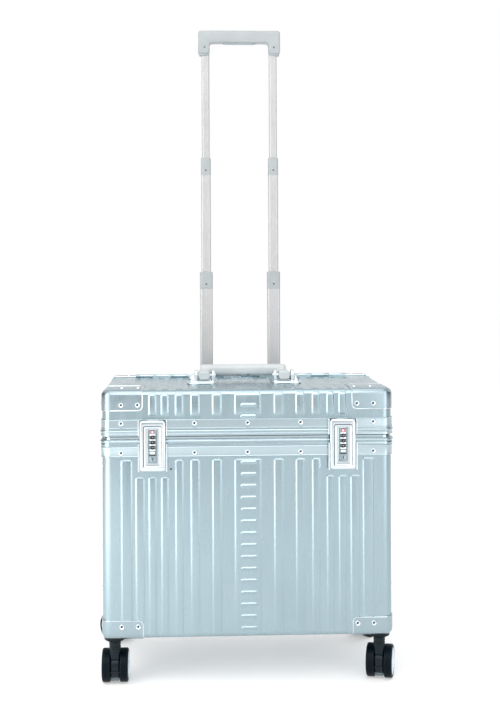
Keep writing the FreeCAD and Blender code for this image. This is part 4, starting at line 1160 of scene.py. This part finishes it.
def carry_bracket(side, sign):
    """A cast bracket: base plate, a U-shaped pocket open to the front and a tapering outer dome."""
    node = f"carry_mount_{side}"
    low, high = span(node)
    pin_y, pin_z = middle("carry_pins").y, middle("carry_pins").z
    outer = span("carry_grip")[1].x
    inner = outer - ARM_WIDE

    def block(near, far, depths, tall, radius, edge, along):
        x0, x1 = (near, far) if sign > 0 else (-far, -near)
        return soft_block((x0, depths[0], low.z), (x1, depths[1], low.z + tall), radius, edge, along)

    cheeks = (low.y + CHEEK_SET, high.y - CHEEK_SET)
    castings = [
        block(inner - 10, outer + 18, (low.y, high.y), 3, 8, 1.2, 2),
        block(outer + 1, outer + 6, cheeks, high.z - low.z, 7, 1, 0),
        block(inner - 8, inner - 3, cheeks, high.z - low.z, 7, 1, 0),
        block(inner - 6, outer + 4, (high.y - 9, high.y - CHEEK_SET), 7, 1.5, 1, 0),
        block(inner - 6, outer + 4, (low.y + 4.5, low.y + 8), 4.5, 1.5, 1, 0),
        Shape().lathe(BRACKET_DOME, looking((sign * (outer + 5), pin_y, low.z + 8.6), (sign, 0, 0)), 40),
        block(outer + 4, outer + 13, (pin_y - 8.4, pin_y + 8.4), 8, 3, 2, 1),
    ]
    item = fused(f"carry_bracket_{side}", castings, 0.55, 5)
    finished(item, "lid", BRACKET_METAL, [node], 60)
    boss = cylinder(4.2, 1.4, looking((sign * (inner - 8.9), pin_y, pin_z), (sign, 0, 0)), 0.5)
    piece(f"carry_boss_{side}", boss, "lid", BRACKET_METAL, "polished_metal")


for side, sign in SIDES:
    carry_bracket(side, sign)


def carry_grip_piece():
    """The grip: a rounded bar behind two arms that end in rounded pills on the pins."""
    low, high = span("carry_grip")
    pin_y, pin_z = middle("carry_pins").y, middle("carry_pins").z
    bar_front = high.y - 18
    start = (low.x + 4, bar_front, high.z - 19)
    shapes = [soft_block(start, (high.x - 4, high.y, high.z), 7.5, 4, along=0, steps=6)]
    for x0, x1 in ((low.x, low.x + ARM_WIDE), (high.x - ARM_WIDE, high.x)):
        end = (x1, bar_front + 9, pin_z + 7)
        shapes.append(soft_block((x0, pin_y - 7, pin_z - 7), end, 4.5, 2, along=1, steps=6))
    item = fused("carry_grip_moulding", shapes, 0.75, 6)
    along_pins = looking((low.x - 5, pin_y, pin_z), (1, 0, 0))
    subtract(item, cylinder(PIN_RADIUS, high.x - low.x + 10, along_pins, 0.05))
    finished(item, "carry_handle", CARRY_PLASTIC, ["carry_grip"], 60)
    # two finger beads under the bar
    beads = Shape()
    for sign in (-1, 1):
        track = []
        for k in range(9):
            t = -1 + 2 * k / 8
            place = (sign * BEAD_APART + BEAD_HALF * t, bar_front + 1.6, high.z - 17.2 - 0.5 * t * t)
            track.append((Vector(place), AHEAD))
        tube_along(beads, track, 1.0)
    piece("carry_grip_beads", beads, "carry_handle", TAB_PLASTIC, "grip_grey")


def tube_along(shape, track, radius, steps=8):
    """A round bead along (point, normal) places."""
    rings = []
    for number, (point, normal) in enumerate(track):
        before = track[max(number - 1, 0)][0]
        after = track[min(number + 1, len(track) - 1)][0]
        along = (after - before).normalized()
        side = along.cross(normal).normalized()
        up = side.cross(along)
        rings.append([point + side * radius * math.cos(t) + up * radius * math.sin(t) for t in circle(steps)])
    return shape.skin(rings)


carry_grip_piece()

# ---------------------------------------------------------------- trolley

TUBE_ROUND = 3
FLUTES = (-0.36, -0.12, 0.12, 0.36)
FLUTE_HALF = 0.55
FLUTE_DEPTH = 0.4
FLUTE_SECTION = ((1, 0), (0.6, 0.8), (0, 1), (-0.6, 0.8), (-1, 0))
COLLAR_TALL = 30
COLLAR_PROUD = 0.25
COLLAR_EDGE = 0.7
PIN_DROP, PIN_SINK = 21, 0.46


GRIP_LEG, GRIP_BAR = 19.8, 20.7
GRIP_ROUND, ARCH_ROUND, FOOT_ROUND = 4.5, 5.5, 3.2
GRIP_EDGE = 2.6
GRIP_SCREW = [(0, 0.12), (0.5, 0.12), (0.55, 0.32), (1.2, 0.4), (1.5, 0.28), (1.5, -0.4), (0, -0.4)]
SEAM_SECTION = ((-0.28, -0.5), (-0.28, 0.04), (0.28, 0.04), (0.28, -0.5))
DECK_SCREW = [(0, 0.25), (1.0, 0.25), (1.1, 0.55), (2.1, 0.5), (2.5, 0.1), (2.5, -0.3), (0, -0.3)]
PIP_PITCH = 6


def tube_outline(half_x, half_y, fluted):
    """A rounded rectangle with narrow flutes down its front and rear faces."""
    loop = []
    faces = (((1, -1), -90, 0), ((1, 1), 0, 90), ((-1, 1), 90, 180), ((-1, -1), 180, 270))
    for (sx, sy), start, end in faces:
        centre = (sx * (half_x - TUBE_ROUND), sy * (half_y - TUBE_ROUND))
        loop += arc(centre, TUBE_ROUND, start, end, 5)
        if fluted and (sx, sy) in ((1, 1), (-1, -1)):
            for share in FLUTES:
                x = sx * -share * 2 * (half_x - TUBE_ROUND)
                for step, depth in FLUTE_SECTION:
                    loop.append((x + sx * step * FLUTE_HALF, sy * (half_y - depth * FLUTE_DEPTH)))
    return loop


def toward_bore(point, half_x, half_y, radius=1):
    """The place on the bore's rounded rectangle nearest to a point outside it."""
    core_x, core_y = half_x - radius, half_y - radius
    x = max(-core_x, min(core_x, point[0]))
    y = max(-core_y, min(core_y, point[1]))
    offset = Vector((point[0] - x, point[1] - y))
    offset = offset.normalized() * radius if offset.length > 1e-6 else Vector((0, radius))
    return (x + offset.x, y + offset.y)


def hollow_tube(centre, half, bore, z0, z1, fluted=True, edge=0.3):
    """A tube between two heights. half and bore are its half sizes across and from front to back."""
    outline = tube_outline(*half, fluted)
    inside = [toward_bore(p, *bore) for p in outline]

    def drawn_in(value, shrink):
        return value - math.copysign(min(shrink, abs(value)), value)

    rings = []
    for loop, z, shrink in (
        (inside, z0, 0), (outline, z0, edge), (outline, z0 + edge, 0),
        (outline, z1 - edge, 0), (outline, z1, edge), (inside, z1, 0),
    ):
        rings.append([centre + Vector((drawn_in(x, shrink), drawn_in(y, shrink), z)) for x, y in loop])
    return Shape().skin(rings, ends="join")


def trolley_stage(name, wall_x, wall_y, collar):
    """Both tubes of a stage, and the moulded collars at the top of those that hold another stage."""
    node, body = f"trolley_stage_{name}", f"trolley_{name}"
    tubes, collars, pins = Shape(), Shape(), Shape()
    for low, high in solids_of(node):
        centre = Vector(((low.x + high.x) / 2, (low.y + high.y) / 2, 0))
        half_x, half_y = (high.x - low.x) / 2, (high.y - low.y) / 2
        bore = (half_x - wall_x, half_y - wall_y)
        top = high.z - (COLLAR_TALL if collar else 0)
        tubes.join(hollow_tube(centre, (half_x, half_y), bore, low.z, top + 1))
        if collar:
            proud = (half_x + COLLAR_PROUD, half_y + COLLAR_PROUD)
            collars.join(hollow_tube(centre, proud, bore, top, high.z, False, COLLAR_EDGE))
            place = looking((centre.x, centre.y - half_y - COLLAR_PROUD + PIN_SINK, high.z - PIN_DROP), AHEAD)
            pins.join(cylinder(1.5, 0.5, place, 0.2, 20))
    piece(f"{body}_tubes", tubes, body, TUBE_METAL, "trolley_grey", [node], 28)
    if collar:
        piece(f"{body}_collars", collars, body, GRIP_PLASTIC, "trolley_grey")
        piece(f"{body}_pins", pins, body, DARK_METAL_AND_GAP_SHADE, "trolley_grey")


trolley_stage("lower", 2.1, 1.6, True)
trolley_stage("middle", 1.15, 1.1, True)
trolley_stage("upper", 1.3, 1.3, False)


def trolley_grip_outline():
    """The U-shaped grip as one outline: outer corners at the top, legs with soft feet, and the inner arch."""
    low, high = span("trolley_grip")
    top, foot, arch = high.z - GRIP_ROUND, low.z + FOOT_ROUND, high.z - GRIP_BAR - ARCH_ROUND
    left, right = low.x + GRIP_LEG, high.x - GRIP_LEG
    arcs = (
        ((high.x - GRIP_ROUND, top), GRIP_ROUND, 0, 90, 6),
        ((low.x + GRIP_ROUND, top), GRIP_ROUND, 90, 180, 6),
        ((low.x + FOOT_ROUND, foot), FOOT_ROUND, 180, 270, 4),
        ((left - FOOT_ROUND, foot), FOOT_ROUND, 270, 360, 4),
        ((left + ARCH_ROUND, arch), ARCH_ROUND, 180, 90, 5),
        ((right - ARCH_ROUND, arch), ARCH_ROUND, 90, 0, 5),
        ((right + FOOT_ROUND, foot), FOOT_ROUND, 180, 270, 4),
        ((high.x - FOOT_ROUND, foot), FOOT_ROUND, 270, 360, 4),
    )
    return [Vector((x, 0, z)) for settings in arcs for x, z in arc(*settings)]


def inset_outline(outline, distance):
    """Moves each point of a closed outline inwards by a distance, in the X and Z plane."""
    following = outline[1:] + outline[:1]
    area = sum(here.x * after.z - after.x * here.z for here, after in zip(outline, following))
    turn = 1 if area > 0 else -1
    moved = []
    for before, here, after in zip(outline[-1:] + outline, outline, following):
        first, second = (here - before).normalized(), (after - here).normalized()
        normal_one = Vector((-first.z, 0, first.x)) * turn
        normal_two = Vector((-second.z, 0, second.x)) * turn
        direction = (normal_one + normal_two).normalized()
        scale = 1 / max(direction.dot(normal_one), 0.5)
        moved.append(here + direction * distance * scale)
    return moved


def trolley_grip_piece():
    """The grip's moulding with its button slot, screws, feet and painted shade along its end seams."""
    low, high = span("trolley_grip")
    outline = trolley_grip_outline()
    rows = [(inset, low.y + depth) for inset, depth in rounding(GRIP_EDGE, 5)]
    rows += [(inset, high.y - depth) for inset, depth in reversed(rounding(GRIP_EDGE, 5))]
    rings = [[Vector((p.x, y, p.z)) for p in inset_outline(outline, inset)] for inset, y in rows]
    item = mesh_object("trolley_grip_moulding", Shape().skin(rings))
    start, end = span("trolley_button")
    start, end = (start.x - 0.5, start.y - 0.4, start.z - 6), (end.x + 0.5, end.y + 0.4, end.z + 4)
    subtract(item, soft_block(start, end, 5.3, 0.1))
    finished(item, "trolley_upper", GRIP_PLASTIC, ["trolley_grip"], 40)
    screws, feet, seam_shade_strips = Shape(), Shape(), Shape()
    for tube_low, tube_high in solids_of("trolley_stage_upper"):
        x = (tube_low.x + tube_high.x) / 2
        for y, direction in ((low.y, AHEAD), (high.y, BEHIND)):
            at_screw = Vector((math.copysign(abs(x) + 1.6, x), y, low.z + 11)) - direction * 0.25
            screws.lathe(GRIP_SCREW, looking(at_screw, direction), 20)
        leg_middle = math.copysign(abs(low.x) - GRIP_LEG / 2, x)
        feet.join(bar(leg_middle, 8.6, (low.y + 2.6, high.y - 2.6), (low.z - 2.4, low.z + 2), 3, 0.8, 2))
    piece("grip_screws", screws, "trolley_upper", DARK_METAL_AND_GAP_SHADE, "grip_grey")
    piece("grip_feet", feet, "trolley_upper", BUTTON_PLASTIC, "grip_grey")
    # dark strips of painted shade along the seams where the end caps meet the bar
    core_y, core_z = (low.y + high.y) / 2, high.z - 10.3
    loop = rounded_rectangle((low.y + 0.06, high.z - 20.6), (high.y - 0.06, high.z - 0.06), GRIP_EDGE)
    for sign in (-1, 1):
        rings = []
        for y, z in loop:
            place = Vector((sign * (high.x - GRIP_LEG - 1.5), y, z))
            out = Vector((0, y - core_y, z - core_z)).normalized()
            rings.append([place + Vector((across, 0, 0)) + out * rise for across, rise in SEAM_SECTION])
        seam_shade_strips.skin(rings, ends="join")
    piece("grip_seam_shade", seam_shade_strips, "trolley_upper", DARK_METAL_AND_GAP_SHADE, "grip_grey")


trolley_grip_piece()


def trolley_button_piece():
    low, high = span("trolley_button")
    x = (low.x + high.x) / 2
    pips = Shape()
    for number in range(-3, 4):
        heights = (low.z - 0.25, low.z + 0.5)
        pips.join(bar(x + number * PIP_PITCH, 0.6, (low.y + 2.5, high.y - 2.5), heights, 0.5, 0.2, 2))
    pressed = soft_block(low, high, 5, 1.2, steps=5)
    piece("trolley_button_bar", pressed, "trolley_button", BUTTON_PLASTIC, "button_grey", ["trolley_button"])
    piece("trolley_button_pips", pips, "trolley_button", BUTTON_PLASTIC, "button_grey")


trolley_button_piece()


def bezel():
    """The trolley's surround on the rear deck: a crowned plate with two tube openings and two screws."""
    low, high = span("trolley_bezel")
    item = mesh_object("trolley_surround", soft_block(low, high, 7, 1.6, steps=5))
    cutters = []
    for tube_low, tube_high in solids_of("trolley_stage_lower"):
        start = (tube_low.x - 0.5, tube_low.y - 0.5, low.z - 3)
        cutters.append(soft_block(start, (tube_high.x + 0.5, tube_high.y + 0.5, high.z + 3), 3.4, 0.1))
    cutters.append(soft_block((-40, low.y + 7, high.z - 1.2), (40, high.y - 7, high.z + 3), 4, 0.1))
    subtract(item, *cutters)
    finished(item, "case", GRIP_PLASTIC, ["trolley_bezel"], 35)
    screws = Shape()
    for x in (-44.5, 44.5):
        screws.lathe(DECK_SCREW, looking((x, (low.y + high.y) / 2, high.z - 0.2), UP), 24)
    piece("surround_screws", screws, "case", RIVET_METAL, "grip_grey")


bezel()

# ---------------------------------------------------------------- casters

wheels_low, wheels_high = span("caster_wheels_front_left")
WHEEL_RADIUS = (wheels_high.z - wheels_low.z) / 2
WHEEL_INNER, WHEEL_OUTER = 7.2, 20.3
HUB_RADIUS = 0.83 * WHEEL_RADIUS
TREAD_GROOVES = 5
SHOULDER = 2.6
INNER_SHOULDER = ((2.2, 0), (1.0, 0.35), (0.25, 1.1), (0, 2.1))
TREAD = ((0.28, 0), (0.36, 0.55), (0.64, 0.55), (0.72, 0))
OUTER_SHOULDER = ((0, SHOULDER), (0.3, 1.5), (1.1, 0.55), (2.6, 0.05), (3.4, 0))
HUB_LIP = ((1.6, 0.15), (0.9, 0.5), (0.7, 1.8))
HUB_PROFILE = [
    (0, 1.35), (0.2, 1.3), (0.4, 1.15), (0.6, 0.8), (0.755, 0.3), (0.8, 0.05), (0.82, -0.35), (0.845, -0.35),
    (0.865, 0.0), (0.91, -0.1), (0.955, -0.45), (0.99, -1.0), (1, -2.0), (0, -2.0),
]
AXLE_RADIUS = 2.9
FIN_HALF, FIN_INSET = 6.7, 4
FIN_EDGE = ((7, 0.9), (6, 0.1), (1.2, 0), (0, 1.2))
COLUMN = [(0, 0), (7.2, 0), (8.2, 3), (8.6, 7), (8.9, 9), (9.0, 12), (0, 12)]
THROAT = 2 * WHEEL_RADIUS - 9
NECK_START = THROAT + 11
NECK_RADIUS = 9.0
NECK_RINGS = ((0.5, 0), (3.4, 0), (3.6, 0.4), (4.2, 0.4), (4.4, 0), (6.4, 0), (6.6, 0.4))
NECK_CAP = ((8.6, 6.2), (9.1, 5.8), (9.1, 0.5), (8.7, 0.1), (0, 0.1))
STEM_RADIUS = 3.95


def joint_place(name):
    """A matrix at a joint's point, in millimetres, whose Z axis lies along the joint's axis."""
    joint = next(j for j in frame["joints"] if j["name"] == name)
    return looking(Vector(joint["pos_m"]) / MM, joint["axis"])


def tyre_profile():
    """Half of a caster's wheel, as (radius, distance out along the axle)."""
    profile = [(0, WHEEL_INNER + 1.5), (HUB_RADIUS - 6, WHEEL_INNER + 1.5), (HUB_RADIUS - 3, WHEEL_INNER)]
    profile += [(WHEEL_RADIUS - drop, WHEEL_INNER + out) for drop, out in INNER_SHOULDER]
    pitch = (WHEEL_OUTER - WHEEL_INNER - 2 * SHOULDER) / TREAD_GROOVES
    for number in range(TREAD_GROOVES):
        start = WHEEL_INNER + SHOULDER + number * pitch
        profile += [(WHEEL_RADIUS - depth, start + pitch * share) for share, depth in TREAD]
    profile += [(WHEEL_RADIUS - drop, WHEEL_OUTER - back) for drop, back in OUTER_SHOULDER]
    profile += [(HUB_RADIUS + out, WHEEL_OUTER - back) for out, back in HUB_LIP]
    return profile + [(0, WHEEL_OUTER - 1.8)]


def caster_wheels(end, side, axle):
    """Two grooved wheels with their caps, on one axle."""
    body = f"wheels_{end}_{side}"
    tyres, hubs, rods = Shape(), Shape(), Shape()
    rod_end = WHEEL_INNER + 2.2
    for place in (axle, axle @ Matrix.Rotation(math.pi, 4, "X")):
        tyres.lathe(tyre_profile(), place, 72)
        hubs.lathe([(HUB_RADIUS * share, WHEEL_OUTER + out) for share, out in HUB_PROFILE], place, 56)
        rods.lathe([(0, 5), (AXLE_RADIUS, 5), (AXLE_RADIUS, rod_end), (0, rod_end)], place, 24)
    rods.lathe([(0, -6), (AXLE_RADIUS, -6), (AXLE_RADIUS, 6), (0, 6)], axle, 24)
    node = f"caster_wheels_{end}_{side}"
    piece(f"tyres_{end}_{side}", tyres, body, TYRE_RUBBER, "wheel_rubber", [node], 30)
    piece(f"hub_caps_{end}_{side}", hubs, body, HUB_PLASTIC, "caster_plastic", (), 30)
    piece(f"axle_{end}_{side}", rods, body, RIVET_METAL, "caster_plastic")


def caster(end, side):
    """A caster: wheels, the fin between them, its neck and stem, the rear tab and the front ridge."""
    body, fork_node = f"caster_{end}_{side}", f"caster_fork_{end}_{side}"
    axle = joint_place(f"wheel_spin_{end}_{side}")
    caster_wheels(end, side, axle)
    # the swivelling frame: Z up, the wheels ahead along its Y
    origin, hub = joint_place(f"caster_swivel_{end}_{side}").translation, axle.translation
    trail = Vector((hub.x - origin.x, hub.y - origin.y, 0))
    forward, reach = trail.normalized(), trail.length
    across = Vector((forward.y, -forward.x, 0))
    base = Matrix((across, forward, UP)).transposed().to_4x4()
    base.translation = Vector((origin.x, origin.y, 0))
    fin_radius, wide = WHEEL_RADIUS - FIN_INSET, 2 * FIN_HALF
    disc = [(0, 0.9)] + [(fin_radius - drop, out) for drop, out in FIN_EDGE]
    disc += [(fin_radius - drop, wide - out) for drop, out in reversed(FIN_EDGE)] + [(0, wide - 0.9)]
    fin = Shape().lathe(disc, looking((-FIN_HALF, reach, WHEEL_RADIUS), (1, 0, 0)), 72)
    column = Shape().lathe(COLUMN, Matrix.Translation((0, 0, THROAT)), 48)
    crown = bar(0, 6.4, (-7.5, reach + 5), (WHEEL_RADIUS + 12, 2 * WHEEL_RADIUS + 1.2), 5, 1.5, 0)
    casting = Shape().placed(Shape().join(fin, column, crown), base)
    item = fused(f"caster_fin_{end}_{side}", [casting], 0.55, 3)
    subtract(item, cylinder(3.06, 30, looking(hub - across * 15, across), 0.05))
    finished(item, body, FORK_PLASTIC, [fork_node], 55)
    rise = origin.z - NECK_START
    neck = [(0, 0), (8.7, 0)] + [(NECK_RADIUS - dip, height) for height, dip in NECK_RINGS]
    neck += [(radius, rise - drop) for radius, drop in NECK_CAP]
    stem_low = origin.z - 3
    at_stem = Matrix.Translation((origin.x, origin.y, stem_low))
    tab = bar(0, 6.5, (reach - 15.6, reach - 10), (6, 12.2), 1.4, 0.5)
    ridge = bar(0, 6.5, (reach - fin_radius - 0.9, reach - fin_radius + 3), (19.6, 22.2), 0.8, 0.5, 0)
    for name, shape, material in (
        ("neck", Shape().lathe(neck, Matrix.Translation((origin.x, origin.y, NECK_START)), 48), FORK_PLASTIC),
        ("stem", cylinder(STEM_RADIUS, span(fork_node)[1].z - stem_low, at_stem), RIVET_METAL),
        ("tab", Shape().placed(tab, base), TAB_PLASTIC),
        ("ridge", Shape().placed(ridge, base), FORK_PLASTIC),
    ):
        piece(f"caster_{name}_{end}_{side}", shape, body, material, "caster_plastic")


for end in ("front", "rear"):
    for side, sign in SIDES:
        caster(end, side)


HOUSING = ((0.5, 2.9), (0.4, 3.9), (0.9, 4.1), (0.9, 4.5), (0.4, 4.7))
HOUSING_BORE = 4.05


def caster_housings():
    """The fixed cups under the corners: a lower cone, a drum with a seam and a flange against the guard."""
    shape = Shape()
    for low, high in solids_of("caster_plates"):
        radius, tall = (high.x - low.x) / 2, high.z - low.z
        profile = [(HOUSING_BORE, 0)]
        profile += [(radius - inset, z) for inset, z in ((6.5, 0), (5.2, 0.3), (1.2, 2.3), *HOUSING)]
        profile += [(radius - inset, tall - z) for inset, z in ((0.2, 1.2), (0, 0.8), (0, 0.3), (0.4, 0))]
        profile += [(HOUSING_BORE, tall), (HOUSING_BORE, 0)]
        shape.lathe(profile, Matrix.Translation(((low.x + high.x) / 2, (low.y + high.y) / 2, low.z)), 56)
    piece("caster_housings", shape, "case", FORK_PLASTIC, "caster_plastic", ["caster_plates"], 35)


caster_housings()

# ---------------------------------------------------------------- linings


TRAY_WALL, TRAY_EDGE, TRAY_CORNER = 1.5, 5, 10
TRAY_LIP = ((1.5, 2), (1.1, 0.5), (0.75, 0), (0.3, 0.5), (0, 2))
QUILT, QUILT_RISE = 46, 3.2
QUILT_ACROSS, QUILT_DEEP = 96, 44
PAD_INSET = 6


def tray(low, high, level, rim, up):
    """An open tray of board and cloth. level is the floor's height and rim the open edge's."""
    rows = [(TRAY_WALL + inset, level + up * (TRAY_WALL + rise)) for inset, rise in rounding(TRAY_EDGE, 5)]
    rows += [(inset, rim - up * drop) for inset, drop in TRAY_LIP]
    rows += [(inset, level + up * rise) for rise, inset in rounding(TRAY_EDGE, 5)]
    rings = []
    for inset, z in rows:
        start, end = (low.x + inset, low.y + inset), (high.x - inset, high.y - inset)
        loop = rounded_rectangle(start, end, max(TRAY_CORNER - inset, 1), 6)
        rings.append([Vector((x, y, z)) for x, y in loop])
    return Shape().skin(rings)


def quilted_floor(low, high, level, up):
    """A padded panel with diamond stitching, closed by a flat underside."""
    size, last = QUILT_ACROSS + 1, QUILT_DEEP
    rows = []
    for row in range(last + 1):
        y = low.y + (high.y - low.y) * (row / last)
        line = []
        for column in range(size):
            x = low.x + (high.x - low.x) * (column / QUILT_ACROSS)
            puff = abs(math.sin(math.pi * (x + y) / QUILT)) * abs(math.sin(math.pi * (x - y) / QUILT))
            fade = min(1, min(x - low.x, high.x - x, y - low.y, high.y - y) / 6)
            line.append(Vector((x, y, level + up * (0.4 + (QUILT_RISE * puff ** 0.35 + 0.6) * fade ** 0.5))))
        rows.append(line)
    under = [[Vector((p.x, p.y, level - up * 0.6)) for p in line] for line in rows]
    shape = Shape().skin(rows, around=False, ends="open").skin(under, around=False, ends="open")
    edge = [*range(size)] + [(row + 1) * size - 1 for row in range(1, last + 1)]
    edge += [last * size + k for k in reversed(range(size - 1))]
    edge += [row * size for row in reversed(range(1, last))]
    total = len(rows) * size
    for here, after in zip(edge, edge[1:] + edge[:1]):
        shape.faces.append((here, after, after + total, here + total))
    return shape


def lining(node, body, up):
    """A tray with a quilted pad on its floor and a piped rim. up is 1 when its open side is at the top."""
    low, high = span(node)
    level, rim_z = (low.z, high.z) if up > 0 else (high.z, low.z)
    cloth = (body, LINING_CLOTH, "lining_fabric")
    piece(f"{node}_tray", tray(low, high, level, rim_z, up), *cloth, [node], 40)
    start = Vector((low.x + PAD_INSET, low.y + PAD_INSET, 0))
    end = Vector((high.x - PAD_INSET, high.y - PAD_INSET, 0))
    pad = piece(f"{node}_pad", quilted_floor(start, end, level + up * TRAY_WALL, up), *cloth, (), 70)
    loop = rounded_rectangle((low.x + 0.8, low.y + 0.8), (high.x - 0.8, high.y - 0.8), 9.2, 8)
    rings = []
    for before, here, after in zip(loop[-1:] + loop, loop, loop[1:] + loop[:1]):
        along = Vector((after[0] - before[0], after[1] - before[1], 0)).normalized()
        side = Vector((along.y, -along.x, 0))
        rings.append([Vector((*here, rim_z)) + side * math.cos(t) + UP * math.sin(t) for t in circle(8)])
    piece(f"{node}_piping", Shape().skin(rings, ends="join"), *cloth)


lining("body_lining", "case", 1)
lining("lid_lining", "lid", -1)

# ---------------------------------------------------------------- floor, light and camera

scene = bpy.context.scene
floor = bpy.data.objects.new("floor", bpy.data.meshes.new("floor"))
floor.data.from_pydata([(-8, -8, 0), (8, -8, 0), (8, 12, 0), (-8, 12, 0)], [], [(0, 1, 2, 3)])
pale = Look("floor_pale", (0.62, 0.62, 0.62), 0.9, Emission_Color=(1, 1, 1, 1), Emission_Strength=0.38)
pale.vary_colour(pale.noise(6, 2), 0.99, 1.01)
floor.data.materials.append(pale.material)
scene.collection.objects.link(floor)

# directions toward the grey panels, and greys by how far a view turns toward one
SHADE_FRONT = (0.88, -0.45, -0.12)
FRONT_SHADES = ((0.0, 1.0), (0.5, 1.0), (0.68, 0.7), (0.79, 1.0), (0.86, 0.8), (0.93, 0.4), (1.0, 0.2))
SHADE_FLANK, SHADE_REAR = (0.944, 0, 0), (0, 0.33, 0)
FLANK_SHADES = ((0.0, 1.0), (0.85, 1.0), (0.92, 0.45), (1.0, 0.16))


class Sky(Graph):
    """The studio round the object: white, with grey panels at the right front and at both flanks."""

    def __init__(self, name):
        self.world = bpy.data.worlds.new(name)
        super().__init__(self.world)
        self.place = self.coordinates("Generated")

    def vector(self, operation, *inputs):
        """A vector operation on the direction of view, or on a source given for it."""
        made = self.node("VectorMath", {0: inputs[0] if inputs else self.place}, {"operation": operation})
        if len(inputs) > 1:
            made.inputs[1].default_value = inputs[1]
        return made

    def along(self, direction, source=None):
        return self.vector("DOT_PRODUCT", source or self.place, direction).outputs["Value"]

    def shades(self, source, stops):
        """Greys by position, where -1 to 1 in the source runs from 0 to 1."""
        ranged = self.node("MapRange", {"Value": source}, From_Min=-1)
        ramp = self.node("ValToRGB", {"Fac": ranged.outputs["Result"]})
        elements = ramp.color_ramp.elements
        while len(elements) < len(stops):
            elements.new(0.5)
        for element, (position, shade) in zip(elements, stops):
            element.position = position
            element.color = (shade, shade, shade, 1)
        return ramp.outputs["Color"]


sky = Sky("studio")
front_shade = sky.shades(sky.along(Vector(SHADE_FRONT).normalized()), FRONT_SHADES)
unsigned = sky.vector("ABSOLUTE").outputs["Vector"]
flank = sky.maths("ADD", sky.along(SHADE_FLANK, unsigned), sky.along(SHADE_REAR))
backdrop = sky.maths("MULTIPLY", front_shade, sky.shades(flank, FLANK_SHADES))
sky.links.new(backdrop, sky.nodes["Background"].inputs["Color"])
scene.world = sky.world


def softbox(name, place, size, power, aim=(0, 0, 0.4)):
    light = bpy.data.lights.new(name, "AREA")
    light.shape = "RECTANGLE"
    light.size, light.size_y = size
    light.energy = power
    item = bpy.data.objects.new(name, light)
    scene.collection.objects.link(item)
    item.location = place
    item.rotation_euler = (Vector(aim) - Vector(place)).to_track_quat("-Z", "Y").to_euler()
    item.visible_camera = False
    return light


softbox("key_light", (-2.05, -1.75, 0.9), (1.7, 2.2), 32)
softbox("right_light", (1.1, -2.2, 0.7), (0.8, 1.6), 5.5)
softbox("glint_light", (1.2, -1.3, 0.8), (0.4, 1.6), 5)
softbox("front_light", (0, -1.75, 2.1), (1.4, 1.8), 18)
softbox("top_light", (0.1, -0.2, 2.8), (1.8, 1.0), 6)
softbox("floor_wash", (-1.35, -1.05, 1.3), (1.0, 1.0), 24, (-1.35, -0.95, 0)).spread = math.radians(95)
softbox("rim_light", (2.2, 0.9, 1.3), (0.6, 1.6), 6)
glow = bpy.data.lights.new("sky_glow", "SUN")
glow.energy, glow.angle = 0.4, math.radians(70)
sun = bpy.data.objects.new("sky_glow", glow)
sun.rotation_euler = (math.radians(28), math.radians(-18), 0)
scene.collection.objects.link(sun)

PHOTO_WIDE, PHOTO_TALL = 500, 707
FOCAL_PIXELS = 1100
PRINCIPAL = (232.84, 270.56)
lens = bpy.data.cameras.new("camera")
lens.sensor_width = 36
lens.lens = FOCAL_PIXELS * lens.sensor_width / PHOTO_TALL
lens.shift_x = (PHOTO_WIDE / 2 - PRINCIPAL[0]) / PHOTO_TALL
lens.shift_y = -(PHOTO_TALL / 2 - PRINCIPAL[1]) / PHOTO_TALL
lens.clip_start, lens.clip_end = 0.05, 30
camera = bpy.data.objects.new("camera", lens)
camera.location = (-0.0907, FRONT * MM - 1.6796, 0.6367)
camera.rotation_euler = (math.pi / 2, 0.004, -0.041)
scene.collection.objects.link(camera)
scene.camera = camera
scene.view_settings.view_transform = "Standard"
